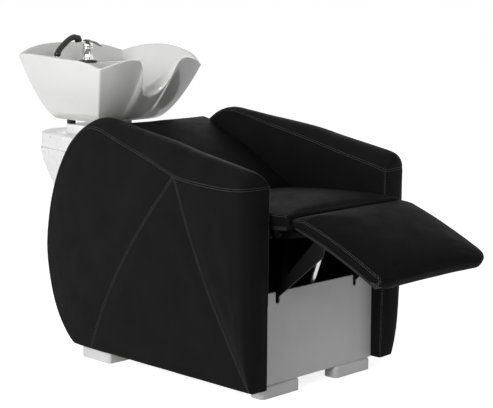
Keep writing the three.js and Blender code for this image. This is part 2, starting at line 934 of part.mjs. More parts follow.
// A crowned pad over a plan rectangle. place(x, s, h) puts a point of its own frame in the unit:
// x across, s along from the head end, h above the base. Its sides pull in between the corners.
function padSolid({ halfWidth, length, headCorner, toeCorner, thicknessAt, crown, place }) {
  const plan = [];
  const corners = [
    [halfWidth, 0, headCorner, -Math.PI / 2],
    [halfWidth, length, toeCorner, 0],
    [-halfWidth, length, toeCorner, Math.PI / 2],
    [-halfWidth, 0, headCorner, Math.PI],
  ];
  corners.forEach(([x, s, radius, start], index) => {
    const cx = x - Math.sign(x) * radius;
    const cs = s === 0 ? radius : s - radius;
    for (let k = 0; k <= padCornerSteps; k += 1) {
      const angle = start + (k / padCornerSteps) * (Math.PI / 2);
      plan.push([cx + radius * Math.cos(angle), cs + radius * Math.sin(angle)]);
    }
    const [nextX, nextS, nextRadius, nextStart] = corners[(index + 1) % corners.length];
    const from = plan[plan.length - 1];
    const to = [
      nextX - Math.sign(nextX) * nextRadius + nextRadius * Math.cos(nextStart),
      (nextS === 0 ? nextRadius : nextS - nextRadius) + nextRadius * Math.sin(nextStart),
    ];
    for (let k = 1; k < padSideSteps; k += 1) {
      const t = k / padSideSteps;
      const pull = padDrawIn * Math.sin(Math.PI * t);
      const px = lerp(from[0], to[0], t);
      const ps = lerp(from[1], to[1], t);
      if (index % 2 === 0) plan.push([px - Math.sign(px) * pull, ps]);
      else plan.push([px, index === 1 ? ps - pull : ps]);
    }
  });
  const middle = length / 2;
  const ringAt = (inset, shrink, heightAt) => plan.map(([x, s]) => {
    const keep = 1 - shrink;
    const px = (x - (x / halfWidth) * inset) * keep;
    const ps = middle + (s - middle) * (1 - inset / middle) * keep;
    return place(px, ps, heightAt(ps));
  });
  const spine = plan.map(([, s]) =>
    place(0, THREE.MathUtils.clamp(s, padSpineMargin, length - padSpineMargin), 0));
  const sides = padSideShares.map(([rise, inset]) =>
    ringAt(inset * padEdgeInset, 0, (s) => rise * thicknessAt(s / length)));
  const rings = [spine, ...sides];
  for (const share of padCrownShares) {
    const lift = crown * (1 - (1 - share) ** padCrownPower);
    rings.push(ringAt(padEdgeInset, share, (s) => thicknessAt(s / length) + lift));
  }
  const top = place(0, middle, thicknessAt(middle / length) + crown);
  rings.push(plan.map(() => top.clone()));
  return solidOfTriangles(sidesOf(rings));
}

// Seat base line: it falls slightly towards the back
const seatSlope = -Math.atan2(seatFall, seatLength);

function seatPoint(x, s, h) {
  const y = seatFront + s - h * Math.sin(seatSlope);
  return new THREE.Vector3(x, y, seatBaseHeight + s * Math.tan(seatSlope) + h);
}

const backSlope = THREE.MathUtils.degToRad(backReclineDeg);

// Back frame: s runs up the slope, h is measured from the front face of the cushion
function backPoint(x, s, h) {
  return new THREE.Vector3(
    x,
    backFootY + s * Math.cos(backSlope) - h * Math.sin(backSlope),
    backFootZ + s * Math.sin(backSlope) + h * Math.cos(backSlope),
  );
}

// Legrest base: an arc that starts at the front of the seat and steepens towards the nose
const legrestStart = THREE.MathUtils.degToRad(legrestStartDeg);
const legrestEnd = THREE.MathUtils.degToRad(legrestEndDeg);
const legrestArcRadius = legrestLength / (legrestEnd - legrestStart);
const legrestHeadY = seatFront - legrestHeadGap;
const legrestHeadZ = seatBaseHeight + boardThickness / 2;

function legrestPoint(x, s, h) {
  const angle = lerp(legrestStart, legrestEnd, s / legrestLength);
  const y = legrestHeadY - legrestArcRadius * (Math.sin(angle) - Math.sin(legrestStart));
  const z = legrestHeadZ + legrestArcRadius * (Math.cos(angle) - Math.cos(legrestStart));
  return new THREE.Vector3(x, y - h * Math.sin(angle), z + h * Math.cos(angle));
}

// A board that follows a base line, between two distances along it
function boardAlong(point, from, to, halfWidth, top, steps) {
  const upper = [];
  const lower = [];
  for (let k = 0; k <= steps; k += 1) {
    const s = lerp(from, to, k / steps);
    const high = point(0, s, top);
    const low = point(0, s, top - boardThickness);
    upper.push([high.y, high.z]);
    lower.unshift([low.y, low.z]);
  }
  return plateX(upper.concat(lower), -halfWidth, halfWidth);
}

function buildSeatAndBack() {
  const rearThickness = seatThickness * seatRearSwell;
  const seatRise = (t) => lerp(seatThickness, rearThickness, Math.min(1, t * seatSwellGrowth));
  addPiece(unit, 'seat_cushion', padSolid({
    halfWidth: seatHalfWidth,
    length: seatLength,
    headCorner: padBackCorner,
    toeCorner: padBackCorner,
    thicknessAt: seatRise,
    crown: seatCrown,
    place: seatPoint,
  }), leather);
  addPiece(unit, 'seat_board', boardAlong(
    seatPoint, boardInset, seatLength - gap, armSpan / 2 - boardInset, -gap, 1,
  ), plywood);

  const arch = (t) => backThickness + 4 * backArch * t * (1 - t);
  addPiece(unit, 'back_cushion', padSolid({
    halfWidth: backHalfWidth,
    length: backLength,
    headCorner: padBackCorner,
    toeCorner: padBackCorner * 2,
    thicknessAt: arch,
    crown: backCrown,
    place: (x, s, h) => backPoint(x, s, h - backThickness),
  }), leather);
  addPiece(unit, 'back_board', boardAlong(
    backPoint, boardInset / 2, backLength - boardInset / 2, armSpan / 2 - boardInset, -backThickness - gap, 1,
  ), plywood);
}

// Heights of the sloped rails under the boards
const seatRailDepth = tubeSide / Math.cos(seatSlope);

function seatRailTop(y) {
  const baseLine = seatBaseHeight + (y - seatFront) * Math.tan(seatSlope);
  return baseLine - (boardThickness + 2 * gap) / Math.cos(seatSlope);
}

function buildFrame() {
  const railInner = armSpan / 2 - gap - tubeSide;
  const high = baseTubeTop;
  const low = high - tubeSide;
  const rearEnd = rearTubeY + tubeSide;
  const crossRun = railInner + tubeWall / 2;
  const crossTubes = [frontTubeY, actuatorTubeY, middleTubeY, rearTubeY].map((y) =>
    squareTube('x', -crossRun, crossRun, y, low, tubeSide, crossTubeWall));
  const baseRails = [railInner, -railInner - tubeSide].map((x) =>
    squareTube('y', frontTubeY, rearEnd, x, low));
  addPiece(unit, 'base_frame', weld([...baseRails, ...crossTubes]), blackSteel);

  // One welded side frame: three uprights, the seat rail and the back rail
  const upright = (y, top) => squareTube('z', high + gap, top, railInner, y, tubeSide, crossTubeWall);
  const midHeight = (y) => seatRailTop(y + tubeSide / 2) - seatRailDepth / 2;
  const backFoot = backPoint(0, 0, -backThickness - boardThickness - 2 * gap - tubeSide);
  const seatRail = slopedTube(
    railInner,
    [seatRailStart, seatRailTop(seatRailStart) - seatRailDepth],
    seatSlope,
    backFoot.y + tubeSide / 2 - seatRailStart,
  );
  const backRailLength = (rearEnd - backFoot.y) / Math.cos(backSlope);
  const backRail = slopedTube(railInner, [backFoot.y, backFoot.z], backSlope, backRailLength, backRailWall);
  const rearMid = backFoot.z + (rearTubeY + tubeSide / 2 - backFoot.y) * Math.tan(backSlope);
  const sideFrame = weld([
    seatRail,
    backRail,
    upright(seatRailStart, midHeight(seatRailStart)),
    upright(middleTubeY, midHeight(middleTubeY)),
    upright(rearTubeY, rearMid),
  ]);
  addPiece(unit, 'left_side_frame', sideFrame, blackSteel);
  addPiece(unit, 'right_side_frame', mirrorX(sideFrame), blackSteel);

  // Cross tube under the front of the seat with the two lugs of the legrest hinge
  const seatCrossZ = seatRailTop(seatTubeY + tubeSide) - tubeSide - gap;
  const seatCross = weld([squareTube('x', gap - railInner, railInner - gap, seatTubeY, seatCrossZ)]);
  const lugOuter = slotX - crankThickness / 2 - gap;
  const lugInner = lugOuter - hingeBracketThickness;
  const lug = cylinderX(lugInner, lugOuter, hingeY, hingeZ, hingeBossRadius)
    .add(box(
      lugInner, lugOuter, hingeY, seatTubeY + tubeWall / 2,
      hingeZ - hingeBossRadius, hingeZ + hingeBossRadius,
    ))
    .subtract(cylinderX(lugInner - overrun, lugOuter + overrun, hingeY, hingeZ, hingePinRadius + gap));
  addPiece(unit, 'seat_cross_tube', seatCross.add(lug).add(mirrorX(lug)), blackSteel);
}

function buildFeet() {
  const top = armClearance - footGap;
  const front = roundedBlock(
    frontFootInner, frontFootOuter, frontFootY, frontFootY + frontFootDepth, 0, top, footCorner, footTopRound,
  );
  const rear = roundedBlock(
    rearFootInner, rearFootOuter, rearFootY, rearFootY + rearFootLength, 0, top, footCorner, footTopRound,
  );
  addPiece(unit, 'left_front_foot', front, whitePlastic);
  addPiece(unit, 'right_front_foot', mirrorX(front), whitePlastic);
  addPiece(unit, 'left_rear_foot', rear, whitePlastic);
  addPiece(unit, 'right_rear_foot', mirrorX(rear), whitePlastic);
}

function buildSkirt() {
  const half = armSpan / 2 - skirtSideGap;
  let skirt = box(-half, half, skirtY, skirtY + skirtThickness, armClearance, skirtTop);
  const slotRound = slotWidth / 2;
  for (const x of [-slotX, slotX]) {
    const low = skirtTop - slotDepth + slotRound;
    const y0 = skirtY - overrun;
    const y1 = skirtY + skirtThickness + overrun;
    skirt = skirt.subtract(box(x - slotRound, x + slotRound, y0, y1, low, skirtTop + overrun));
    skirt = skirt.subtract(cylinderBetween(
      new THREE.Vector3(x, y0, low), new THREE.Vector3(x, y1, low), slotRound,
    ));
  }
  addPiece(unit, 'front_skirt', skirt, greyPanel);
  addPiece(unit, 'rear_cover', box(
    -half, half, rearCoverY, rearCoverY + rearCoverThickness, rearCoverBottom, rearCoverTop,
  ), blackPlastic);
}

// Legrest: pad, board, two crank plates and the tube that the actuator pushes
function crankSolid(x0) {
  const below = (s, depth) => {
    const p = legrestPoint(0, s, -boardThickness - 3 * gap - depth);
    return [p.y, p.z];
  };
  const reach = crankReachShare * legrestLength;
  const head = boardInset + crankHeadInset;
  const middle = (head + reach) / 2;
  const arm = [
    below(head, 0),
    below(middle, 0),
    below(reach, 0),
    below(reach, crankArmDepth / 2),
    below(middle, crankArmDepth),
    below(head, crankArmDepth),
    [hingeY, hingeZ - hingeBossRadius],
    [hingeY, hingeZ + hingeBossRadius],
  ];
  const toe = new THREE.Vector2(crankToeY, crankToeZ);
  const heel = new THREE.Vector2(crankHeelY, crankHeelZ);
  const side = heel.clone().sub(toe).normalize().rotateAround(new THREE.Vector2(), Math.PI / 2);
  const offset = (p, d) => [p.x + side.x * d, p.y + side.y * d];
  const [toeTopY, toeTopZ] = below(reach * crankToeShare, crankArmDepth / 2);
  const bar = [
    offset(toe, -crankBarHalf),
    offset(heel, -crankBarHalf),
    offset(heel, crankBarHalf),
    [toeTopY + crankArmDepth, toeTopZ],
    [toeTopY - crankArmDepth / 2, toeTopZ],
  ];
  const x1 = x0 + crankThickness;
  return plateX(arm, x0, x1)
    .add(plateX(bar, x0, x1))
    .add(cylinderX(x0, x1, hingeY, hingeZ, hingeBossRadius))
    .add(cylinderX(x0, x1, crossTubeY, crossTubeZ, crossTubeRadius + tubeWall))
    .add(cylinderX(x0, x1, crankHeelY, crankHeelZ, crankBarHalf))
    .subtract(cylinderX(x0 - overrun, x1 + overrun, hingeY, hingeZ, hingePinRadius + runningClearance));
}

function buildLegrest() {
  const legrest = group(unit, 0, hingeY, hingeZ);
  const local = (solid) => solid.translate([0, -hingeY, -hingeZ]);
  const rise = (t) => legrestThickness * tableAt(legrestRiseShares, t);
  addPiece(legrest, 'legrest_pad', local(padSolid({
    halfWidth: legrestHalfWidth,
    length: legrestLength,
    headCorner: padBackCorner,
    toeCorner: padCorner,
    thicknessAt: rise,
    crown: legrestCrown,
    place: (x, s, h) => legrestPoint(-x, s, h),
  })), leather);
  addPiece(legrest, 'legrest_board', local(boardAlong(
    legrestPoint, boardInset / 2, legrestLength - boardInset, legrestHalfWidth - boardInset, -gap,
    legrestBoardSteps,
  )), plywood);
  const inner = slotX - crankThickness / 2;
  const crank = local(crankSolid(inner));
  addPiece(legrest, 'left_crank_plate', crank, blackSteel);
  addPiece(legrest, 'right_crank_plate', mirrorX(crank), blackSteel);
  const run = inner - gap;
  addPiece(legrest, 'push_tube', local(cylinderX(-run, run, crossTubeY, crossTubeZ, crossTubeRadius)
    .subtract(cylinderX(-run - overrun, run + overrun, crossTubeY, crossTubeZ, crossTubeRadius - tubeWall)),
  ), blackSteel);
}

function buildHinges() {
  const crankInner = slotX - crankThickness / 2;
  const headEnd = crankInner - 2 * gap - hingeBracketThickness;
  const tailStart = crankInner + crankThickness + gap;
  const pinStart = headEnd - hingeHeadThickness;
  const pinEnd = tailStart + hingeHeadThickness;
  const pin = cylinderX(pinStart, headEnd, hingeY, hingeZ, hingeHeadRadius)
    .add(cylinderX(pinStart, pinEnd, hingeY, hingeZ, hingePinRadius))
    .add(cylinderX(tailStart, pinEnd, hingeY, hingeZ, hingeHeadRadius));
  addPiece(unit, 'left_hinge_pin', pin, brightSteel);
  addPiece(unit, 'right_hinge_pin', mirrorX(pin), brightSteel);
}

// Linear actuator, modelled along +z from its lower pivot and leaned into place
const actuatorRun = Math.hypot(crossTubeY - actuatorPivotY, crossTubeZ - actuatorPivotZ);
const actuatorLean = Math.atan2(actuatorPivotY - crossTubeY, crossTubeZ - actuatorPivotZ);

function buildActuator() {
  const halfClevis = clevisInnerWidth / 2;
  const y0 = actuatorPivotY - lugWidth / 2;
  const y1 = actuatorPivotY + lugWidth / 2;
  const lugTop = actuatorPivotZ + lugWidth / 2;
  const bore = actuatorPinRadius + gap;
  const foot = halfClevis + lugThickness;
  const bracketFoot = baseTubeTop + gap;
  const bracket = box(-foot, foot, y0, y1, bracketFoot, bracketFoot + lugThickness)
    .add(box(halfClevis, foot, y0, y1, bracketFoot, lugTop))
    .add(box(-foot, -halfClevis, y0, y1, bracketFoot, lugTop))
    .subtract(cylinderX(-foot - overrun, foot + overrun, actuatorPivotY, actuatorPivotZ, bore));
  addPiece(unit, 'actuator_bracket', bracket, blackSteel);
  addPiece(unit, 'actuator_pin', cylinderX(
    -foot - hingeHeadThickness, foot + hingeHeadThickness, actuatorPivotY, actuatorPivotZ, actuatorPinRadius,
  ), brightSteel);

  const actuator = group(unit, 0, actuatorPivotY, actuatorPivotZ);
  actuator.rotation.x = actuatorLean;
  const eyeHalf = halfClevis - 2 * gap;
  const gearLow = sleeveStart - gearcaseLength;
  const gearcase = cylinderZ(0, 0, gearLow, sleeveStart, gearcaseRadius)
    .add(cylinderX(-eyeHalf, eyeHalf, 0, 0, lugWidth / 2))
    .add(box(-eyeHalf, eyeHalf, -lugWidth / 2, lugWidth / 2, 0, gearLow + gap))
    .add(box(-motorRadius, motorRadius, 0, motorOffset, gearLow, sleeveStart))
    .add(cylinderZ(0, motorOffset, gearLow, sleeveStart, motorRadius))
    .subtract(cylinderX(-foot, foot, 0, 0, actuatorPinRadius + runningClearance));
  addPiece(actuator, 'actuator_gearcase', gearcase, blackPlastic);
  addPiece(actuator, 'actuator_motor', cylinderZ(
    0, motorOffset, sleeveStart + gap, sleeveStart + gap + motorLength, motorRadius - motorStep,
  ), blackPlastic);
  addPiece(actuator, 'actuator_sleeve', cylinderZ(0, 0, sleeveStart + gap, sleeveEnd, sleeveRadius)
    .subtract(cylinderZ(0, 0, sleeveStart + sleeveRadius, sleeveEnd + overrun, sleeveBore)),
  blackPlastic);

  const rod = group(unit, 0, crossTubeY, crossTubeZ);
  rod.rotation.x = actuatorLean;
  const rodSolid = cylinderZ(0, 0, sleeveEnd - rodInsertion - actuatorRun, -crossTubeRadius, rodRadius)
    .add(cylinderX(-rodEyeWidth / 2, rodEyeWidth / 2, 0, 0, rodEyeRadius))
    .subtract(cylinderX(-rodEyeWidth, rodEyeWidth, 0, 0, crossTubeRadius + runningClearance));
  addPiece(rod, 'actuator_rod', rodSolid, brightSteel);
}

function buildControlBox() {
  const z0 = baseTubeTop + gap;
  const y0 = middleTubeY + tubeSide / 2 - controlBoxLength / 2;
  addPiece(unit, 'control_box', roundedBlock(
    -controlBoxWidth / 2, controlBoxWidth / 2, y0, y0 + controlBoxLength, z0, z0 + controlBoxHeight,
    controlBoxCorner, controlBoxCorner / 2,
  ), blackPlastic);
}

// Column: plan outline at a height, open towards the chair
function columnOutline(z, inset, front) {
  const t = (z - columnBottom) / (columnTop - columnBottom);
  const rear = lerp(columnRearLow, columnRearHigh, tableAt(columnRearShares, t)) - inset;
  const half = lerp(columnHalfLow, columnHalfHigh, tableAt(columnRearShares, t)) - inset;
  const frontHalf = half + (rear - front) * Math.tan(THREE.MathUtils.degToRad(columnFlareDeg));
  const outline = [[frontHalf, front]];
  for (let k = 0; k <= columnRearSteps; k += 1) {
    const angle = (k / columnRearSteps) * Math.PI;
    const across = Math.sign(Math.cos(angle)) * Math.abs(Math.cos(angle)) ** columnBulgePower;
    const bulge = columnBulgeShare * half * Math.sin(angle) ** columnBulgePower;
    outline.push([half * across, rear + bulge]);
  }
  outline.push([-frontHalf, front]);
  return outline.map(([x, y]) => new THREE.Vector3(x, y, z));
}

function columnShell(z0, z1, inset, levels, closedTop) {
  const outer = [];
  const inner = [];
  const innerTop = closedTop ? z1 - columnWall : z1 + overrun;
  for (let k = 0; k <= levels; k += 1) {
    outer.push(columnOutline(lerp(z0, z1, k / levels), inset, columnFrontY));
    const z = lerp(z0 - overrun, innerTop, k / levels);
    inner.push(columnOutline(z, inset + columnWall, columnFrontY - overrun));
  }
  return loft(outer).subtract(loft(inner));
}

function buildColumn() {
  const lowerTop = columnSplit - columnSplitGap;
  const lower = columnShell(columnBottom, lowerTop, 0, columnLevels, false);
  addPiece(unit, 'column_lower_casing', lower, whitePlastic);
  const cap = columnShell(lowerTop + gap, columnTop, columnUpperInset, 1, true)
    .subtract(cylinderZ(0, bowlCentreY, columnSplit, columnTop + overrun, bootRadius + gap * 4));
  addPiece(unit, 'column_upper_casing', cap, whitePlastic);

  const x0 = -postSide / 2;
  const plateHalf = basePlateWidth / 2;
  const postTop = columnTop - columnWall - gap;
  const tube = squareTube('z', 0, postTop, x0, postY - postSide / 2, postSide, postWall);
  addPiece(unit, 'column_post', tube.outside.add(box(
    -plateHalf, plateHalf, postY - basePlateLength / 2, postY + basePlateLength / 2, 0, basePlateThickness,
  )).subtract(tube.bore), blackSteel);
  const tieLow = baseTubeTop + gap;
  addPiece(unit, 'column_tie', box(
    -tieWidth / 2, tieWidth / 2, rearTubeY, postY - postSide / 2 - gap, tieLow, tieLow + tieThickness,
  ), blackSteel);

  const clipHalf = wasteClipWidth / 2;
  const clipFront = postY + postSide / 2 + gap;
  const wasteBore = wasteRadius - wasteWall;
  const waste = cylinderZ(0, bowlCentreY, wasteBottom, bootBottom - gap, wasteRadius)
    .add(box(-clipHalf, clipHalf, clipFront, bowlCentreY, wasteClipZ, wasteClipZ + wasteClipHeight))
    .subtract(cylinderZ(0, bowlCentreY, wasteBottom - overrun, bootBottom + overrun, wasteBore));
  addPiece(unit, 'waste_pipe', waste, blackPlastic);
  const boot = cylinderZ(0, bowlCentreY, bootBottom, bootTop, wasteRadius + wasteWall, roundSides, bootRadius)
    .subtract(cylinderZ(0, bowlCentreY, bootBottom - overrun, bootTop + overrun, wasteBore))
    .subtract(cylinderZ(
      0, bowlCentreY, bootBottom + overrun, bootTop + overrun, bootBore - 2 * wasteWall, roundSides, bootBore,
    ));
  addPiece(unit, 'waste_boot', boot, rubber);

  buildSidePanel();
}

// Service strip with its screw on the flared right side of the upper casing
function buildSidePanel() {
  const z1 = columnTop - sidePanelDrop;
  const z0 = z1 - sidePanelHeight;
  const [front, rear] = columnOutline(columnTop, columnUpperInset, columnFrontY);
  const along = rear.clone().sub(front).normalize();
  const out = new THREE.Vector3(along.y, -along.x, 0);
  const start = rear.clone().addScaledVector(along, -sidePanelLength - sidePanelSetback);
  const place = (s, d) => {
    const p = start.clone().addScaledVector(along, s).addScaledVector(out, d);
    return [-p.x, p.y];
  };
  const outer = gap + sidePanelThickness;
  const corners = [
    place(0, gap), place(sidePanelLength, gap), place(sidePanelLength, outer), place(0, outer),
  ];
  addPiece(unit, 'right_side_panel', plateZ(corners, z0, z1), whitePlastic);
  const screwAt = sidePanelLength - sidePanelHeight / 2;
  const zMid = (z0 + z1) / 2;
  addPiece(unit, 'right_panel_screw', cylinderBetween(
    new THREE.Vector3(...place(screwAt, outer + gap), zMid),
    new THREE.Vector3(...place(screwAt, outer + gap + screwHead), zMid),
    screwRadius,
    screwSides,
  ), brightSteel);
}

// Tilt hinge between the neck block and the basin
function buildNeck() {
  const z0 = columnTop + gap;
  addPiece(unit, 'neck_block', roundedBlock(
    -neckHalfWidth, neckHalfWidth, neckFront, neckRear, z0, neckTop, neckCorner, neckCorner / 2,
  ).subtract(cylinderZ(0, bowlCentreY, z0 - overrun, neckTop + overrun, neckBore)), whitePlastic);

  const leafTop = neckTop + gap + leafThickness;
  const knuckle = (x0, x1, low, high) => cylinderX(x0, x1, tiltY, tiltZ, tiltKnuckleRadius)
    .add(box(x0, x1, tiltY - tiltKnuckleRadius, tiltY + tiltKnuckleRadius, low, high))
    .subtract(cylinderX(x0 - overrun, x1 + overrun, tiltY, tiltZ, tiltPinRadius + runningClearance));
  const fixedX0 = tiltKnuckleX;
  const fixedX1 = fixedX0 + tiltKnuckleLength;
  const movingX0 = fixedX1 + gap * 2;
  const movingX1 = movingX0 + tiltKnuckleLength;
  const leafHalf = fixedX1 + gap;
  for (const [side, sign] of [['left', 1], ['right', -1]]) {
    const place = (solid) => (sign > 0 ? solid : mirrorX(solid));
    const leaf = knuckle(fixedX0, fixedX1, neckTop + gap, tiltZ)
      .add(box(fixedX0 - leafThickness, leafHalf, tiltY - overrun, tiltY + overrun, neckTop + gap, leafTop));
    addPiece(unit, `${side}_tilt_leaf`, place(leaf), brightSteel);
    const pin = cylinderX(fixedX0 - leafThickness, movingX1 + leafThickness, tiltY, tiltZ, tiltPinRadius);
    addPiece(unit, `${side}_tilt_pin`, place(pin), brightSteel);
    const bx1 = neckHalfWidth - bufferInset;
    const buffer = roundedBlock(
      bx1 - bufferWidth, bx1, neckRear - bufferInset - bufferLength, neckRear - bufferInset,
      neckTop + gap, basinBottom - leafThickness - 2 * gap, bufferInset, bufferInset / 2,
    );
    addPiece(unit, `${side}_rubber_buffer`, place(buffer), rubber);
  }

  const plateTop = basinBottom - gap;
  const plateLow = plateTop - leafThickness;
  const moving = knuckle(movingX0, movingX1, tiltZ, plateTop);
  const relief = (x0, x1) => box(
    x0 - gap, x1 + gap, tiltY - tiltKnuckleRadius - reliefRoom, tiltY + tiltKnuckleRadius + reliefRoom,
    plateLow - overrun, plateTop + overrun,
  );
  const plate = plateZ(
    roundedOutline(
      -mountPlateHalfWidth, mountPlateHalfWidth,
      neckFront + mountPlateInset, neckRear - mountPlateInset, neckCorner,
    ), plateLow, plateTop,
  ).subtract(relief(fixedX0 - leafThickness, fixedX1))
    .subtract(relief(-fixedX1, -fixedX0 + leafThickness))
    .subtract(cylinderZ(0, bowlCentreY, plateLow - overrun, plateTop + overrun, drainRadius + gap));
  return plate.add(moving).add(mirrorX(moving));
}

// Basin: rim curves, body and bowl rings
function rimHalf() {
  const scaled = (shares) => shares.map(([x, y, z]) => new THREE.Vector3(
    x * basinHalfWidth, basinFront + y * basinDepth, basinBottom + z * basinHeight,
  ));
  const sections = [
    [scaled(rimFrontShares), rimFrontSteps],
    [scaled(rimSideShares), rimSideSteps],
    [scaled(rimBackShares), rimBackSteps],
  ];
  const middle = new THREE.Vector3(0, basinFront + basinDepth / 2, 0);
  const keep = 1 - rimThickness / basinHalfWidth;
  const inward = (p, index, isFront) => {
    const moved = p.clone();
    moved.x = p.x * keep;
    moved.y = middle.y + (p.y - middle.y) * keep;
    if (isFront && index < notchLipShares.length) {
      const [dx, dy, dz] = notchLipShares[index];
      moved.set(p.x + dx * lipWidth, p.y + dy * lipWidth, p.z + dz * lipWidth);
    }
    return moved;
  };
  const outer = [];
  const inner = [];
  sections.forEach(([points, steps], section) => {
    const outerCurve = new THREE.CatmullRomCurve3(points);
    const innerCurve = new THREE.CatmullRomCurve3(points.map((p, i) => inward(p, i, section === 0)));
    for (let k = section === 0 ? 0 : 1; k <= steps; k += 1) {
      outer.push(outerCurve.getPoint(k / steps));
      inner.push(innerCurve.getPoint(k / steps));
    }
  });
  return { outer, inner };
}

// The rim on the client's right dips lower between its corners
function nearSideDrop(p) {
  const share = (p.y - basinFront) / basinDepth;
  const along = (share - nearRimDropStartShare) / (nearRimDropEndShare - nearRimDropStartShare);
  const across = THREE.MathUtils.smoothstep(p.x, nearRimDropInner, nearRimDropOuter);
  return nearRimDrop * Math.sin(Math.PI * THREE.MathUtils.clamp(along, 0, 1)) * across;
}

function mirroredRing(half) {
  const left = half.slice(1, -1).reverse().map((p) => new THREE.Vector3(-p.x, p.y, p.z - nearSideDrop(p)));
  return half.concat(left);
}

function footHalf() {
  const foot = [];
  for (let k = 0; k <= rimFrontSteps; k += 1) {
    foot.push(new THREE.Vector3(basinFootHalfFront * (k / rimFrontSteps), basinFootFront, basinBottom));
  }
  for (let k = 1; k <= rimSideSteps; k += 1) {
    const t = k / rimSideSteps;
    foot.push(new THREE.Vector3(
      lerp(basinFootHalfFront, basinFootHalfRear, t), lerp(basinFootFront, basinFootRear, t), basinBottom,
    ));
  }
  for (let k = 1; k <= rimBackSteps; k += 1) {
    foot.push(new THREE.Vector3(basinFootHalfRear * (1 - k / rimBackSteps), basinFootRear, basinBottom));
  }
  return foot;
}

function bowlFloorHalf() {
  const count = rimFrontSteps + rimSideSteps + rimBackSteps;
  const floor = [];
  for (let k = 0; k <= count; k += 1) {
    const angle = -Math.PI / 2 + (k / count) * Math.PI;
    const reach = (Math.sin(angle) < 0 ? bowlFloorFrontShare : bowlFloorRearShare) * basinDepth;
    floor.push(new THREE.Vector3(
      bowlFloorHalfWidth * Math.cos(angle), bowlCentreY + reach * Math.sin(angle), bowlFloor,
    ));
  }
  return floor;
}

function basinSolid() {
  const { outer, inner } = rimHalf();
  const foot = footHalf();
  const floor = bowlFloorHalf();
  const rings = [];
  for (const level of bodyLevelShares) {
    const swell = level ** bodySwellShare;
    rings.push(outer.map((p, k) => new THREE.Vector3(
      lerp(foot[k].x, p.x, swell), lerp(foot[k].y, p.y, swell), lerp(basinBottom, p.z, level),
    )));
  }
  rings.push(outer);
  rings.push(outer.map((p, k) => {
    const top = p.clone().add(inner[k]).multiplyScalar(1 / 2);
    top.z += rimRound;
    return top;
  }));
  rings.push(inner);

  // Towards the back the bowl wall steps onto the flat tap deck
  const wall = (k, level) => {
    const swell = level ** bodySwellShare;
    return new THREE.Vector3(
      lerp(floor[k].x, inner[k].x, swell),
      lerp(floor[k].y, inner[k].y, swell),
      lerp(bowlFloor, inner[k].z, level),
    );
  };
  const deckness = inner.map((p) =>
    THREE.MathUtils.smoothstep(p.y, deckEdgeY - rimThickness, deckEdgeY + rimThickness * 2));
  const deckRear = inner.map((p, k) => {
    const rearY = Math.max(deckEdgeY, p.y - rimThickness * deckRearSetbackShare);
    const onDeck = new THREE.Vector3(p.x * deckRearWidthShare, rearY, deckHeight);
    return wall(k, deckRearLevelShare).lerp(onDeck, deckness[k]);
  });
  const deckEdge = inner.map((p, k) => {
    const atEdge = new THREE.Vector3(p.x * deckEdgeWidthShare, deckEdgeY, deckHeight);
    return wall(k, deckEdgeLevelShare).lerp(atEdge, deckness[k]);
  });
  rings.push(deckRear);
  rings.push(deckEdge);
  for (let step = 1; step < bowlWallSteps; step += 1) {
    const t = 1 - step / bowlWallSteps;
    rings.push(inner.map((p, k) => {
      const below = floor[k].clone().lerp(deckEdge[k], t);
      below.x = lerp(floor[k].x, deckEdge[k].x, t ** bodySwellShare);
      below.y = lerp(floor[k].y, deckEdge[k].y, t ** bodySwellShare);
      return wall(k, deckEdgeLevelShare * t).lerp(below, deckness[k]);
    }));
  }
  rings.push(floor);
  rings.push(floor.map((p, k) => {
    const angle = -Math.PI / 2 + (k / (floor.length - 1)) * Math.PI;
    return new THREE.Vector3(
      drainLip * Math.cos(angle), bowlCentreY + drainLip * Math.sin(angle), bowlFloor - drainDish,
    );
  }));
  const body = loft(rings.map(mirroredRing));

  const deckLow = deckHeight - deckThickness;
  const pocketRing = (grow, z) => [
    [-deckPocketHalfWidth - grow, mixerY - deckPocketReachFront],
    [deckPocketHalfWidth + grow, mixerY - deckPocketReachFront],
    [deckPocketHalfWidth + grow, mixerY + deckPocketReachRear + grow],
    [-deckPocketHalfWidth - grow, mixerY + deckPocketReachRear + grow],
  ].map(([x, y]) => new THREE.Vector3(x, y, z));
  const pocket = loft([pocketRing(0, basinBottom - overrun), pocketRing(deckPocketLean, deckLow)]);
  return body
    .subtract(cylinderZ(0, bowlCentreY, basinBottom - overrun, bowlFloor + overrun, drainRadius))
    .subtract(pocket)
    .subtract(cylinderZ(0, mixerY, deckLow - overrun, deckHeight + overrun, mixerShankBore))
    .subtract(cylinderZ(
      showerX, showerY, deckLow - overrun * 2, deckHeight + overrun, ferruleRadius * hoseHoleShare,
    ));
}

function buildBasin(mountPlate) {
  const basin = group(unit, 0, tiltY, tiltZ);
  const local = (solid) => solid.translate([0, -tiltY, -tiltZ]);
  addPiece(basin, 'basin', local(basinSolid()), ceramic);
  addPiece(basin, 'basin_mount_plate', local(mountPlate), brightSteel);

  const seatZ = bowlFloor - drainDish + gap;
  const flangeTop = seatZ + flangeThickness;
  const flangeRadius = drainLip - gap * 4;
  const throatRadius = drainRadius + tailWall * 2;
  const flange = cylinderZ(0, bowlCentreY, seatZ, flangeTop, flangeRadius, roundSides, throatRadius)
    .add(cylinderZ(0, bowlCentreY, tailBottom, flangeTop, tailRadius))
    .subtract(cylinderZ(0, bowlCentreY, tailBottom - overrun, seatZ + overrun, tailRadius - tailWall));
  addPiece(basin, 'drain_tail', local(flange), chrome);
  buildStrainer(basin, flangeTop);
  buildMixer(basin);
  buildShower(basin);
}

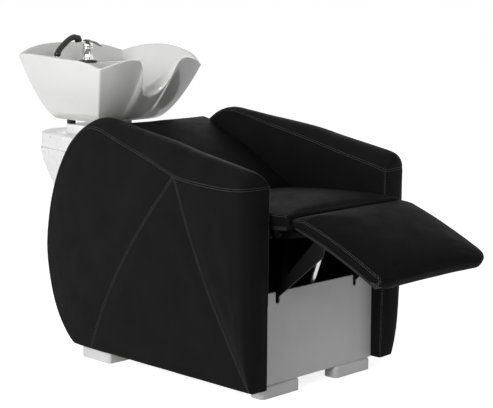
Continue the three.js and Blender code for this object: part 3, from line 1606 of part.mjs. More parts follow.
// Hair strainer that lifts out of the drain
function buildStrainer(basin, rimZ) {
  const strainer = group(basin, 0, bowlCentreY - tiltY, rimZ - tiltZ + gap);
  const rimRadius = tailRadius + tailWall;
  let solid = cylinderZ(0, 0, 0, tailWall, rimRadius)
    .add(cylinderZ(0, 0, -strainerHeight, tailWall / 2, strainerRadius))
    .add(cylinderZ(0, 0, tailWall / 2, tailWall + strainerKnobHeight, strainerKnobRadius));
  for (let k = 0; k < strainerSlots; k += 1) {
    const slot = box(
      strainerKnobRadius + strainerSlotWidth, strainerRadius - strainerSlotWidth, -strainerSlotWidth / 2,
      strainerSlotWidth / 2, -strainerHeight - overrun, tailWall + overrun,
    );
    solid = solid.subtract(slot.rotate([0, 0, (k * 360) / strainerSlots]));
  }
  addPiece(strainer, 'drain_strainer', solid, chrome);
}

function buildMixer(basin) {
  const mixer = group(basin, 0, mixerY - tiltY, deckHeight - tiltZ);
  const bodyLow = mixerRingHeight + 2 * gap;
  const bodyHigh = bodyLow + mixerBodyHeight;
  const ringTopRadius = mixerRingRadius * mixerRingTaperShare;
  const ring = cylinderZ(0, 0, gap, gap + mixerRingHeight, mixerRingRadius, roundSides, ringTopRadius)
    .subtract(cylinderZ(0, 0, -overrun, overrun, mixerShankBore));
  addPiece(mixer, 'mixer_base_ring', ring, blackPlastic);
  const body = cylinderZ(0, 0, bodyLow, bodyHigh, mixerBodyRadius)
    .add(cylinderZ(0, 0, bodyLow - mixerShankLength, bodyLow + gap, mixerShankRadius));
  addPiece(mixer, 'mixer_body', body, chrome);
  const nutTop = -deckThickness - gap;
  addPiece(mixer, 'mixer_nut', cylinderZ(0, 0, nutTop - mixerNutHeight, nutTop, mixerNutRadius, nutSides)
    .subtract(cylinderZ(0, 0, nutTop - overrun, nutTop + overrun, mixerShankRadius + gap)), brass);

  // The head turns on the body and carries the lever, whose tongue sits in a slot
  const headLow = bodyHigh + gap;
  const head = group(mixer, 0, 0, headLow);
  const slotHalf = leverTongueWidth / 2 + gap;
  const slotLength = leverTongueLength / 2 + leverSlotRoom;
  const leverPivotZ = mixerHeadHeight + leverThickness / 2 + leverLift;
  const slotFloor = leverPivotZ - leverThickness / 2 - leverTongueDepth - leverSlotRoom / 2;
  const headSolid = cylinderZ(0, 0, 0, mixerHeadHeight - mixerHeadDome, mixerBodyRadius)
    .add(cylinderZ(
      0, 0, mixerHeadHeight - mixerHeadDome, mixerHeadHeight,
      mixerBodyRadius, roundSides, mixerBodyRadius * mixerHeadTaperShare,
    ))
    .subtract(box(-slotHalf, slotHalf, -slotLength, slotLength, slotFloor, overrun * 2));
  addPiece(head, 'mixer_head', headSolid, chrome);

  const lever = group(head, 0, 0, leverPivotZ);
  const leverRing = ([y, z, width, thick]) => {
    const half = (leverWidth / 2) * width;
    const reach = (leverThickness / 2) * thick;
    const yAt = y < 0 ? -y * -leverReach : y * leverTail;
    const zAt = z * leverTipDrop;
    return [
      new THREE.Vector3(-half, yAt, zAt - reach),
      new THREE.Vector3(-half * leverCrestShare, yAt, zAt + reach),
      new THREE.Vector3(half * leverCrestShare, yAt, zAt + reach),
      new THREE.Vector3(half, yAt, zAt - reach),
    ];
  };
  const paddle = loft(leverShares.map(leverRing));
  const tongueHalf = leverTongueWidth / 2;
  const tongue = box(
    -tongueHalf, tongueHalf, -leverTongueLength / 2, leverTongueLength / 2,
    -leverThickness / 2 - leverTongueDepth, 0,
  );
  addPiece(lever, 'mixer_lever', paddle.add(tongue), chrome);
}

function buildShower(basin) {
  const holder = group(basin, showerX, showerY - tiltY, deckHeight - tiltZ);
  const collarTopRadius = collarRadius * collarTaperShare;
  const collar = cylinderZ(0, 0, gap, collarHeight, collarRadius, roundSides, collarTopRadius)
    .subtract(cylinderZ(0, 0, collarFloor, collarHeight + overrun, collarBore));
  addPiece(holder, 'shower_collar', collar, chrome);

  const handset = group(holder, 0, 0, collarFloor + gap);
  const rise = showerRise - collarFloor;
  const ferrule = cylinderZ(0, 0, 0, ferruleLength, ferruleRadius - gap);
  addPiece(handset, 'shower_ferrule', ferrule, chrome);
  const gripFoot = ferruleLength + gripSetback;
  const path = new THREE.CatmullRomCurve3(showerPathShares.map(([x, z]) => new THREE.Vector3(
    x * showerReach, 0, gripFoot + z * (rise - gripFoot),
  )));
  const circle = new THREE.Shape();
  circle.absarc(0, 0, showerTubeRadius, 0, Math.PI * 2);
  const tube = new THREE.ExtrudeGeometry(circle, {
    steps: showerSteps, curveSegments: showerSides, bevelEnabled: false, extrudePath: path,
  });
  const end = path.getPoint(1);
  const tangent = path.getTangent(1);
  const facing = new THREE.Vector3(tangent.x * showerHeadTilt, 0, -1).normalize();
  const headTop = end.clone().addScaledVector(facing, -showerTubeRadius);
  const headEnd = headTop.clone().addScaledVector(facing, showerHeadLength);
  const headTopRadius = showerHeadRadius * showerHeadTaperShare;
  const head = cylinderBetween(headTop, headEnd, headTopRadius, roundSides, showerHeadRadius);
  const grip = solidOf(tube).add(head);
  addPiece(handset, 'shower_handle', grip, blackPlastic);
  const sprayTop = headEnd.clone().addScaledVector(facing, gap);
  const sprayEnd = sprayTop.clone().addScaledVector(facing, sprayThickness);
  addPiece(handset, 'shower_spray_face', cylinderBetween(sprayTop, sprayEnd, sprayRadius), chrome);
}

buildArms();
buildSeatAndBack();
buildFrame();
buildFeet();
buildSkirt();
buildHinges();
buildLegrest();
buildActuator();
buildControlBox();
buildColumn();
buildBasin(buildNeck());

// The origin lies on the floor, in the middle of the whole unit
const whole = new THREE.Group();
whole.add(unit);
unit.updateMatrixWorld(true);
const bounds = new THREE.Box3().setFromObject(unit, true);
const centre = bounds.getCenter(new THREE.Vector3());
unit.position.set(-centre.x, -centre.y, -bounds.min.z);

export default whole;
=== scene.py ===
"""Looks of a hair washing unit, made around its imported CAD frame.

Sizes are millimetres in the source's own frame: x across the seat, y from the arm fronts to the rear,
z up from the floor. to_frame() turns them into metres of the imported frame.
"""
import json
import math

import bmesh
import bpy
import numpy as np
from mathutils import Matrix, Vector, kdtree
from mathutils.bvhtree import BVHTree


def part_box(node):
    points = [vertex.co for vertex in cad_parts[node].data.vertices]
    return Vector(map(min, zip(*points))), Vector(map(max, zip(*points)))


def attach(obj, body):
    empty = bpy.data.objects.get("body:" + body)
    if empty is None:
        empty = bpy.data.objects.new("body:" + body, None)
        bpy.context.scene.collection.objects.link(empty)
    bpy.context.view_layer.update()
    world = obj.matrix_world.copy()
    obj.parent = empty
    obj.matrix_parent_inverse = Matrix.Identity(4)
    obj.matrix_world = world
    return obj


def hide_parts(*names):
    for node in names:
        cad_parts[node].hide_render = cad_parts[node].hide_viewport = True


MM = 0.001

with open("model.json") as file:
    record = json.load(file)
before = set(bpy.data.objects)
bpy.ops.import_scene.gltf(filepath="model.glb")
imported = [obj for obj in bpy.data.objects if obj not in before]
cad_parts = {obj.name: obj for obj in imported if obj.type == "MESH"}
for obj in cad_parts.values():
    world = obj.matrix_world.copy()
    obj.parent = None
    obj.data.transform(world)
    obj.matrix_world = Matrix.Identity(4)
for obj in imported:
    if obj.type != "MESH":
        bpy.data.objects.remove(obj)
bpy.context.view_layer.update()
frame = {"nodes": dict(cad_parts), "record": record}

# Arms. The tables hold shares of the arm's length and rise, and the outline's third column one of its depth
ARM_SPAN = 500
ARM_CLEARANCE = 37
ARM_LENGTH = 960
ARM_RISE = 734
ARM_DEPTH_APEX = 120
ARM_DEPTH_LOW_FRONT = 61
ARM_DEPTH_LOW_REAR = 65
ARM_FRONT_WIDTH = 99
ARM_FRONT_WIDTH_LOW = 64
ARM_FRONT_LEAN = 10
ARM_FRONT_CORNER = 50
ARM_FRONT_CORNER_LOW = 8
ARM_REAR_SEAM_BOW = 36
ARM_FRONT_SEAM_BOW = 17
ARM_PANEL_PILLOW = 6
ARM_SWELL_POWER = 1.5
ARM_FRONT_WIDTH_POWER = 6
ARM_CORNER_POWER = 2
ARM_CORNER_PUSH = 0.5
ARM_FRONT_TOP_POWER = 8
ARM_BAND_POWER = 0.75
ARM_FRONT_PLAN = [(0, 0), (0.5, 0.07), (0.86, 0.33), (1, 1)]
ARM_FRONT_MERGE = (0.45, 0.42)
ARM_APEX = (0.283, 0.823)
ARM_FRONT_SEAM_FOOT = 0.024
ARM_REAR_SEAM_FOOT = 0.766
ARM_REAR_CROWN = 0.008
ARM_REAR_OUTLINE = [
    (0.859, 0, 0.49), (0.882, 0.02, 0.5), (0.926, 0.083, 0.5), (0.967, 0.183, 0.5), (0.99, 0.287, 0.5),
    (1, 0.413, 0.5), (0.9875, 0.541, 0.5), (0.967, 0.651, 0.49), (0.932, 0.762, 0.48), (0.876, 0.873, 0.47),
    (0.848, 0.91, 0.46), (0.804, 0.95, 0.465), (0.77, 0.962, 0.48), (0.719, 0.9646, 0.517),
    (0.653, 0.9455, 0.583), (0.556, 0.914, 0.69), (0.476, 0.891, 0.79), (0.3635, 0.854, 0.917),
    (0.283, 0.823, 1),
]
ARM_INNER_SEAM = [
    (0, 0.801), (0.085, 0.828), (0.192, 0.858), (0.369, 0.911), (0.546, 0.959), (0.629, 0.984),
    (0.703, 1), (0.742, 0.992), (0.776, 0.974), (0.804, 0.95),
]
ARM_CROWN = [
    (0, 0), (0.004, 0.033), (0.018, 0.057), (0.1, 0.07), (0.283, 0.075), (0.42, 0.062), (0.52, 0.05),
    (0.625, 0.036), (0.71, 0.026), (0.776, 0.016), (0.804, 0.011),
]
ARM_ROWS = 56
ARM_FRONT_COLUMNS = 36
ARM_SIDE_COLUMNS = 40
ARM_REAR_COLUMNS = 30
ARM_BAND_ROWS = 18
ARM_OUTLINE_SAMPLES = 900
ARM_HELD_INSIDE = 2
ARM_HELD_LOW = 4
ARM_RIPPLE = (0.35, 160)

# Seat, back and legrest
SEAT_FRONT = -61
SEAT_BASE = 520
SEAT_LENGTH = 437
SEAT_FALL = 38
SEAT_HALF = 244
SEAT_THICKNESS = 31
SEAT_CROWN = 26
SEAT_REAR_SWELL = 1.42
BACK_FOOT = (379, 538)
BACK_LENGTH = 461
BACK_RECLINE = 26.3
BACK_HALF = 247
BACK_THICKNESS = 47.7
BACK_CROWN = 18
BACK_ARCH = 12
LEGREST_HALF = 240
LEGREST_LENGTH = 352
LEGREST_ANGLES = (18, 29)
LEGREST_THICKNESS = 33
LEGREST_CROWN = 25
LEGREST_HEAD_GAP = 1.2
LEGREST_RISE = [(0, 0.5), (0.13, 0.97), (0.3, 1), (1, 0.98)]
BOARD_THICKNESS = 12
PAD_CORNER = 50
PAD_BACK_CORNER = 10
PAD_DRAW_IN = 3
PAD_EDGE_INSET = 4
PAD_SPINE_MARGIN = 60
PAD_CROWN_POWER = 3.2
PAD_CROWN_SHARES = (0.02, 0.97)
PAD_CROWN_RINGS = 24
PAD_SIDE_PROFILE = [(0, 1), (0.35, 0.1), (0.7, 0), (0.93, 0.12), (1, 0.4)]
PAD_SIDE_RINGS = 14
PAD_SEAM_LEVEL = 0.97
PAD_SEAM_POINTS = 60
PAD_CURL_POINTS = 24
PAD_CURL_END = 12
PAD_RIPPLE = (0.4, 130)
SEAT_SEAM_MARGINS = (4, 20)
BACK_SEAM_MARGINS = (20, 16)
LEGREST_SEAM_MARGINS = (6, 26)
LEGREST_SEAM_CURL = 16
SEAT_HELD = 4
BACK_HELD = 5
LEGREST_HELD = 9

# Upholstery work
ARM_VOXEL = 4.5
PAD_VOXEL = 4
SWELL_VOXEL = 10
ARM_SWELL_CAP = 3.5
PAD_SWELL_CAP = 6
SWELL_FRAMES = 20
SWELL_PRESSURE = 4
SWELL_MASS = 0.3
SWELL_QUALITY = 6
SWELL_NEIGHBOURS = 6
HOLD_LEVELS = 10
RIPPLE_WAVES = 14
RIPPLE_SEED = 7
RELAX_ROUNDS = 2
SEAM_SAMPLE = 3
SEAM_HOLD = 9
SEAM_DEPTH = 1.3
SEAM_WIDTH = 4.5
STITCH_PITCH = 6.2
STITCH_LENGTH = 4.9
STITCH_WIDTH = 0.95
STITCH_HEIGHT = 0.5
STITCH_SPREAD = 2.9
STITCH_SINK = 0.4
STITCH_SHOULDER = 0.55

# Front skirt and feet
SKIRT_Y = 48
SKIRT_THICKNESS = 6
SKIRT_HALF = 249.5
SKIRT_TOP = 309
SLOT_X = 170
SLOT_WIDTH = 17
SLOT_DEPTH = 35
SLOT_ARC_POINTS = 15
PANEL_BEVEL = 1.2
REAR_COVER_BEVEL = 2.5
FOOT_ROUND = (12, 7)
NECK_ROUND = (14, 5)
BUFFER_ROUND = (5, 2)

# Column
COLUMN_FRONT = 830
COLUMN_BOTTOM = 10
COLUMN_TOP = 681
COLUMN_SPLIT = 630
COLUMN_REAR = (960, 1201)
COLUMN_HALF = (101, 136)
COLUMN_BULGE = 0.89
COLUMN_BULGE_POWER = 1.333
COLUMN_FLARE = 11
COLUMN_WALL = 4
COLUMN_UPPER_INSET = 4
COLUMN_REAR_SHARES = [
    (0, 0), (0.432, 0.25), (0.6, 0.5), (0.748, 0.781),
    (0.794, 0.851), (0.833, 0.918), (0.879, 0.969), (0.924, 1),
]
COLUMN_ROUND = (3, 6)
COLUMN_GAP = 0.3
COLUMN_ARC_STEPS = 64
COLUMN_SIDE_STEPS = 12
COLUMN_LEVELS = 26
COLUMN_ROUND_STEPS = 5
COLUMN_INNER_LEVELS = 12
BOOT_HOLE = 33.2

# Basin
BOWL_Y = 1010
BASIN_BOTTOM = 731
BASIN_HEIGHT = 252
BASIN_DEPTH = 503
BASIN_HALF = 262
BASIN_FRONT = BOWL_Y - 0.541 * BASIN_DEPTH
BASIN_REAR = BASIN_FRONT + BASIN_DEPTH
FOOT_FRONT = BOWL_Y - 90
FOOT_REAR = BOWL_Y + 140
FOOT_HALF = (120, 105)
RIM_THICKNESS = 14
RIM_ROUND = 4
LIP_WIDTH = 41
LIP_ROUND_SHARE = 0.3
RIM_DROP = 26
RIM_DROP_SPAN = (0.103, 0.918)
RIM_DROP_ACROSS = (170, 235)
BOWL_FLOOR = 752
BOWL_FLOOR_HALF = 88
BOWL_FLOOR_REACH = (86, 54)
BODY_SWELL = 0.6
DRAIN_DISH = 4
DRAIN_LIP = 34
DRAIN_RADIUS = 22
DECK_Z = 920
DECK_Y = BASIN_REAR - 0.31 * BASIN_DEPTH
RIM_FRONT = [
    (0, 0.133, 0.337), (0.107, 0.117, 0.369), (0.183, 0.08, 0.464),
    (0.237, 0.04, 0.611), (0.282, 0.014, 0.75), (0.336, 0.002, 0.821),
    (0.458, 0.006, 0.845), (0.649, 0.036, 0.806), (0.84, 0.087, 0.73),
]
RIM_SIDE = [
    (0.84, 0.087, 0.73), (0.93, 0.223, 0.868), (0.985, 0.382, 0.937), (1, 0.541, 0.972),
    (0.973, 0.72, 0.956), (0.927, 0.839, 0.913), (0.874, 0.924, 0.865),
]
RIM_BACK = [(0.874, 0.924, 0.865), (0.649, 0.97, 0.94), (0.344, 0.994, 0.988), (0, 1, 1)]
NOTCH_LIP = [
    (0, 1, 0.7), (0, 1, 0.68), (0.1, 0.9, 0.62), (0.15, 0.66, 0.45), (0.16, 0.5, 0.25), (0.12, 0.42, 0.08),
]
RIM_FRONT_STEPS = 56
RIM_SIDE_STEPS = 40
RIM_BACK_STEPS = 24
RIM_ROLL_STEPS = 12
BASIN_WALL_LEVELS = [
    0.004, 0.012, 0.03, 0.06, 0.1, 0.15, 0.2, 0.27, 0.35, 0.44, 0.54, 0.64, 0.74, 0.83, 0.9, 0.95, 0.98,
]
DECK_REAR_WIDTH = 0.92
DECK_REAR_SETBACK = 1.6
DECK_REAR_LEVEL = 0.86
DECK_EDGE_WIDTH = 0.82
DECK_EDGE_LEVEL = 0.7
DECK_WALL_SHARES = (0.35, 0.7, 0.92)
DECK_SHARES = (0, 0.08, 0.3, 0.6, 0.9)
BOWL_WALL_STEPS = 15

# Tap and hand shower. Profiles are (radius, height), or (distance, radius) along the shower's head
MIXER_Y = DECK_Y + 32
MIXER_RING_PROFILE = [(31, 0.3), (32, 1.2), (32, 5), (31, 7.2), (29, 8.3), (19.2, 8.3)]
MIXER_FOOT_RISE = 8.6
MIXER_FOOT_PROFILE = [(8, 0), (20.5, 0), (21, 1), (20.4, 2.4), (18.6, 3.4), (18.4, 20)]
MIXER_TOP_PROFILE = [(18.4, -9), (18.9, -8), (19, -2.5), (18.5, -1), (17.4, -0.2), (2, -0.2)]
MIXER_CAP_PROFILE = [(2, 0), (17.6, 0), (18.8, 1), (19, 3), (18.7, 7), (17.6, 9.5), (15.4, 11.3)]
MIXER_CAP_TOP = [(12, -0.2), (2, 0)]
LEVER_Z = 992.9
LEVER_STATIONS = [
    (-1, -1.05, 0.5, 0.35), (-0.8, -0.72, 0.75, 0.6), (-0.5, -0.2, 0.95, 0.85), (-0.15, 0.12, 1, 1),
    (0.35, 0.16, 0.95, 1), (0.8, 0.02, 0.75, 0.8), (1, -0.08, 0.5, 0.45),
]
LEVER_REACH = (74, 18)
LEVER_RISE = 15
LEVER_HALF_WIDTH = 11
LEVER_HALF_THICKNESS = 3
LEVER_ROUNDNESS = 0.8
LEVER_RINGS = 40
LEVER_SIDES = 28
TONGUE_HALF = (4, 7)
TONGUE_DEPTH = 12
TONGUE_ROUND = (1.5, 0.5)
SHOWER_X = -106
SHOWER_Y = MIXER_Y + 33
SHOWER_HOLDER_PROFILE = [
    (9.6, 4), (15, 0.3), (15.4, 1.5), (14.8, 3.5), (12.6, 5.5), (12, 10), (11.4, 12), (9.6, 12),
]
SHOWER_NECK_LIFT = 4.3
SHOWER_NECK_PROFILE = [(7, 0), (8.7, 0.8), (8.7, 12), (8.2, 13), (8.2, 15), (8.7, 16), (8.7, 18), (4, 18)]
GRIP_SHARES = [(0, 0), (0.09, 0.25), (0.35, 0.62), (0.6, 0.89), (0.82, 1), (1, 0.93)]
GRIP_REACH = 90
GRIP_RISE = 58
GRIP_START = 23
GRIP_FOOT = 17.5
GRIP_RINGS = 60
GRIP_RADII = [(0, 9), (0.02, 12), (0.05, 12.4), (0.2, 10.6), (0.6, 10.2), (0.85, 11.6), (0.97, 12), (1, 8)]
GRIP_FLATNESS = 0.92
SHOWER_HEAD_BACK = 11
SHOWER_HEAD_TILT = 0.3
SHOWER_HEAD_PROFILE = [(0, 5), (3, 9.5), (8, 11.6), (14, 12.4), (19, 13), (22, 12.6)]
SHOWER_ROSE_PROFILE = [(22.3, 10.4), (23.1, 11), (24.5, 11), (25.3, 9.5)]

# Photograph's camera
CAMERA_PLACE = (-2989.13, -2648.33, 1176.62)
CAMERA_FORWARD = (0.69795, 0.69916, -0.15506)
CAMERA_LENS = 101.15
SENSOR_WIDTH = 36

# Stage, in metres of the frame. The floor and the world look brighter than the light they give
FLOOR_HALF = 30
FLOOR_COLOUR = 0.8
FLOOR_GLOW = 0.85
WORLD_LIGHT = 0.2
WORLD_LOOK = 1.0
LAMP_TARGET = (0, 0, 0.5)
LAMPS = [
    ("key", (-5.0, -0.9, 2.1), (2.6, 2.2), 200),
    ("front_fill", (-1.0, -5.5, 3.0), (3, 3), 36),
    ("rear_fill", (4.5, 4.0, 2.6), (2.6, 2.2), 30),
]


# Frame and curves
skirt_low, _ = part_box("front_skirt")
SHIFT = np.array([0, skirt_low.y / MM - SKIRT_Y, 0])


def to_frame(points):
    return (np.asarray(points, float) + SHIFT) * MM


def lerp(a, b, t):
    return a + (b - a) * t


def smoothstep(x, low, high):
    t = np.clip((x - low) / (high - low), 0, 1)
    return t * t * (3 - 2 * t)


def curve_points(points, shares):
    """Centripetal Catmull-Rom curve through the points, at shares of its parameter."""
    points = np.asarray(points, float)
    ends = [2 * points[0] - points[1], *points, 2 * points[-1] - points[-2]]
    last = len(points) - 1
    found = []
    for share in np.atleast_1d(shares):
        place = min(max(share, 0), 1) * last
        k = min(int(place), last - 1)
        t = place - k
        p0, p1, p2, p3 = ends[k:k + 4]
        d1 = math.sqrt(np.linalg.norm(p2 - p1)) or 1
        d0 = math.sqrt(np.linalg.norm(p1 - p0)) or d1
        d2 = math.sqrt(np.linalg.norm(p3 - p2)) or d1
        m1 = ((p1 - p0) / d0 - (p2 - p0) / (d0 + d1) + (p2 - p1) / d1) * d1
        m2 = ((p2 - p1) / d1 - (p3 - p1) / (d1 + d2) + (p3 - p2) / d2) * d1
        bend = 3 * (p2 - p1) - 2 * m1 - m2
        twist = 2 * (p1 - p2) + m1 + m2
        found.append(p1 + m1 * t + bend * t ** 2 + twist * t ** 3)
    return np.array(found)


def even_points(line, count):
    """The line at equal distances along it."""
    line = np.asarray(line, float)
    run = np.concatenate([[0], np.cumsum(np.linalg.norm(np.diff(line, axis=0), axis=1))])
    wanted = np.linspace(0, run[-1], count)
    return np.stack([np.interp(wanted, run, line[:, k]) for k in range(3)], axis=1)


def smooth_table(rows, count=200):
    """A table of two columns as a smooth curve, ready for np.interp."""
    fine = curve_points([(a, b, 0) for a, b in rows], np.linspace(0, 1, count))
    return fine[:, 0], fine[:, 1]


# Meshes
def scene_object(name, data):
    obj = bpy.data.objects.new(name, data)
    bpy.context.scene.collection.objects.link(obj)
    return obj


def new_object(name, points, faces, smooth=True):
    mesh = bpy.data.meshes.new(name)
    mesh.from_pydata([tuple(p) for p in to_frame(points)], [], [tuple(f) for f in faces])
    mesh.validate()
    obj = scene_object(name, mesh)
    work = bmesh.new()
    work.from_mesh(mesh)
    bmesh.ops.remove_doubles(work, verts=work.verts, dist=0.02 * MM)
    bmesh.ops.recalc_face_normals(work, faces=work.faces)
    for face in work.faces:
        face.smooth = smooth
    work.to_mesh(mesh)
    work.free()
    return obj


def ring_faces(rings, count, closed=False):
    """Quads between stacked rings of equal count."""
    faces = []
    for k in range(rings if closed else rings - 1):
        low, high = k * count, ((k + 1) % rings) * count
        faces += [(low + i, low + (i + 1) % count, high + (i + 1) % count, high + i) for i in range(count)]
    return faces


def ring_object(name, rings, cap_start=True, cap_end=True, closed=False):
    count = len(rings[0])
    faces = ring_faces(len(rings), count, closed)
    if cap_start and not closed:
        faces.append(list(range(count))[::-1])
    if cap_end and not closed:
        faces.append([(len(rings) - 1) * count + i for i in range(count)])
    return new_object(name, np.concatenate(rings), faces)


def patch_object(name, patches, fans):
    """A closed surface from grids of points and fans over loops."""
    points, faces = [], []
    for grid in patches:
        grid = np.asarray(grid)
        start, (rows, columns) = len(points), grid.shape[:2]
        points += list(grid.reshape(-1, 3))
        for i in range(rows - 1):
            for j in range(columns - 1):
                a = start + i * columns + j
                faces.append((a, a + 1, a + columns + 1, a + columns))
    for loop in fans:
        start = len(points)
        points += [np.mean(loop, axis=0), *loop]
        faces += [(start, start + 1 + i, start + 1 + (i + 1) % len(loop)) for i in range(len(loop))]
    return new_object(name, points, faces)


def apply_modifiers(obj):
    graph = bpy.context.evaluated_depsgraph_get()
    mesh = bpy.data.meshes.new_from_object(obj.evaluated_get(graph))
    obj.modifiers.clear()
    old, obj.data = obj.data, mesh
    bpy.data.meshes.remove(old)
    return obj


def remesh(obj, voxel):
    modifier = obj.modifiers.new("even", "REMESH")
    modifier.mode = "VOXEL"
    modifier.voxel_size = voxel * MM
    modifier.use_smooth_shade = True
    return apply_modifiers(obj)


def relax(obj, rounds):
    modifier = obj.modifiers.new("relax", "SMOOTH")
    modifier.factor = 0.5
    modifier.iterations = rounds
    return apply_modifiers(obj)


def bevel(obj, width, segments=3, angle=35):
    modifier = obj.modifiers.new("edge", "BEVEL")
    modifier.width = width * MM
    modifier.segments = segments
    modifier.limit_method = "ANGLE"
    modifier.angle_limit = math.radians(angle)
    modifier.harden_normals = True
    return apply_modifiers(obj)


def subdivide(obj, levels=1):
    modifier = obj.modifiers.new("fine", "SUBSURF")
    modifier.levels = modifier.render_levels = levels
    return apply_modifiers(obj)


def coords(obj):
    flat = np.empty(len(obj.data.vertices) * 3)
    obj.data.vertices.foreach_get("co", flat)
    return flat.reshape(-1, 3)


def set_coords(obj, points):
    obj.data.vertices.foreach_set("co", np.asarray(points, float).ravel())
    obj.data.update()


def vertex_normals(obj):
    flat = np.empty(len(obj.data.vertices) * 3, np.float32)
    obj.data.vertex_normals.foreach_get("vector", flat)
    return flat.reshape(-1, 3).astype(float)


def duplicate(obj, name):
    copy = obj.copy()
    copy.data = obj.data.copy()
    copy.name = name
    bpy.context.scene.collection.objects.link(copy)
    return copy


def mirrored(obj, name):
    copy = duplicate(obj, name)
    points = coords(copy)
    points[:, 0] *= -1
    set_coords(copy, points)
    copy.data.flip_normals()
    return copy


def join(obj, other):
    work = bmesh.new()
    work.from_mesh(obj.data)
    work.from_mesh(other.data)
    work.to_mesh(obj.data)
    work.free()
    bpy.data.objects.remove(other)


def place_piece(obj, body, material, replaced=()):
    obj.data.materials.clear()
    obj.data.materials.append(material)
    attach(obj, body)
    if replaced:
        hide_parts(*replaced)
    return obj


# Materials
def colour(value, tint=(1, 1, 1)):
    return (*[min(1, value * t) for t in tint], 1)


def new_node(tree, kind, values=None, links=None):
    """A shader node whose inputs are set to values or linked to other outputs."""
    node = tree.nodes.new(kind)
    for socket, value in (values or {}).items():
        node.inputs[socket].default_value = value
    for socket, output in (links or {}).items():
        tree.links.new(output, node.inputs[socket])
    return node


class Finish:
    """A procedural material around one Principled shader."""

    def __init__(self, name, metallic=0.0, specular=0.5, coat=0.0, coat_roughness=0.1, sheen=0.0):
        self.material = bpy.data.materials.new(name)
        self.material.use_nodes = True
        self.tree = self.material.node_tree
        self.shader = self.tree.nodes["Principled BSDF"]
        self.shader.inputs["Metallic"].default_value = metallic
        self.shader.inputs["Specular IOR Level"].default_value = specular
        self.shader.inputs["Coat Weight"].default_value = coat
        self.shader.inputs["Coat Roughness"].default_value = coat_roughness
        self.shader.inputs["Sheen Weight"].default_value = sheen
        self.space = self.tree.nodes.new("ShaderNodeTexCoord").outputs["Object"]
        self.height = None

    def feed(self, socket, output):
        self.tree.links.new(output, self.shader.inputs[socket])

    def stretched(self, scale):
        node = new_node(self.tree, "ShaderNodeMapping", {"Scale": scale}, {"Vector": self.space})
        return node.outputs["Vector"]

    def noise(self, scale, detail, space=None):
        values = {"Scale": scale, "Detail": detail, "Roughness": 0.55}
        node = new_node(self.tree, "ShaderNodeTexNoise", values, {"Vector": space or self.space})
        return node.outputs["Fac"]

    def cells(self, scale):
        node = new_node(self.tree, "ShaderNodeTexVoronoi", {"Scale": scale}, {"Vector": self.space})
        return node.outputs["Distance"]

    def base(self, value, low, high):
        node = new_node(self.tree, "ShaderNodeValToRGB", links={"Fac": value})
        for element, tone, place in zip(node.color_ramp.elements, (low, high), (0.3, 0.7)):
            element.color = tone
            element.position = place
        self.feed("Base Color", node.outputs["Color"])

    def rough(self, value, low, high):
        values = {"From Min": 0.25, "From Max": 0.75, "To Min": low, "To Max": high}
        node = new_node(self.tree, "ShaderNodeMapRange", values, {"Value": value})
        self.feed("Roughness", node.outputs["Result"])

    def bump(self, value, distance, strength):
        node = new_node(self.tree, "ShaderNodeBump", {"Strength": strength, "Distance": distance * MM},
                        {"Height": value})
        if self.height:
            self.tree.links.new(self.height, node.inputs["Normal"])
        self.height = node.outputs["Normal"]
        self.feed("Normal", self.height)


def leather(name, value):
    finish = Finish(name, specular=0.025)
    finish.base(finish.noise(scale=9, detail=5), colour(value * 0.86), colour(value * 1.16, (1, 0.99, 0.98)))
    finish.rough(finish.noise(scale=22, detail=4), low=0.52, high=0.66)
    finish.bump(finish.noise(scale=14, detail=3), distance=0.5, strength=0.2)
    finish.bump(finish.cells(620), distance=0.16, strength=0.55)
    finish.bump(finish.noise(scale=2600, detail=2), distance=0.05, strength=0.5)
    return finish.material


def thread(name):
    finish = Finish(name, specular=0.3, sheen=0.3)
    finish.base(finish.noise(scale=420, detail=2), colour(0.07), colour(0.1))
    finish.rough(finish.noise(scale=300, detail=2), low=0.5, high=0.7)
    finish.bump(finish.noise(scale=3000, detail=2), distance=0.1, strength=0.6)
    return finish.material


def glaze(name):
    finish = Finish(name, specular=0.5, coat=0.35, coat_roughness=0.05)
    low, high = colour(0.8, (1, 0.995, 0.985)), colour(0.84, (1, 0.998, 0.99))
    finish.base(finish.noise(scale=5, detail=3), low, high)
    finish.rough(finish.noise(scale=16, detail=3), low=0.1, high=0.17)
    finish.bump(finish.noise(scale=38, detail=2), distance=0.25, strength=0.12)
    finish.bump(finish.noise(scale=800, detail=1), distance=0.02, strength=0.25)
    return finish.material


def moulded(name, value, low, high, peel=0.05):
    finish = Finish(name, specular=0.45)
    finish.base(finish.noise(scale=7, detail=4), colour(value * 0.95), colour(value * 1.04))
    finish.rough(finish.noise(scale=30, detail=4), low=low, high=high)
    finish.bump(finish.noise(scale=1400, detail=2), distance=peel, strength=0.15)
    return finish.material


def metal(name, value, low, high, tint=(1, 1, 1), scratch=0.02):
    finish = Finish(name, metallic=1.0)
    streaks = finish.noise(scale=24, detail=5, space=finish.stretched((1, 1, 40)))
    finish.base(finish.noise(scale=12, detail=3), colour(value * 0.92, tint), colour(value, tint))
    finish.rough(streaks, low=low, high=high)
    finish.bump(streaks, distance=scratch, strength=0.4)
    return finish.material


def coated_steel(name, value):
    finish = Finish(name, specular=0.12)
    finish.base(finish.noise(scale=20, detail=4), colour(value * 0.8), colour(value * 1.2))
    finish.rough(finish.noise(scale=60, detail=3), low=0.38, high=0.55)
    finish.bump(finish.noise(scale=900, detail=2), distance=0.06, strength=0.5)
    return finish.material


def plywood(name, dark, pale):
    finish = Finish(name, specular=0.3)
    grain = finish.noise(scale=9, detail=6, space=finish.stretched((18, 2, 18)))
    finish.base(grain, (*dark, 1), (*pale, 1))
    finish.rough(grain, low=0.55, high=0.75)
    finish.bump(grain, distance=0.15, strength=0.5)
    return finish.material


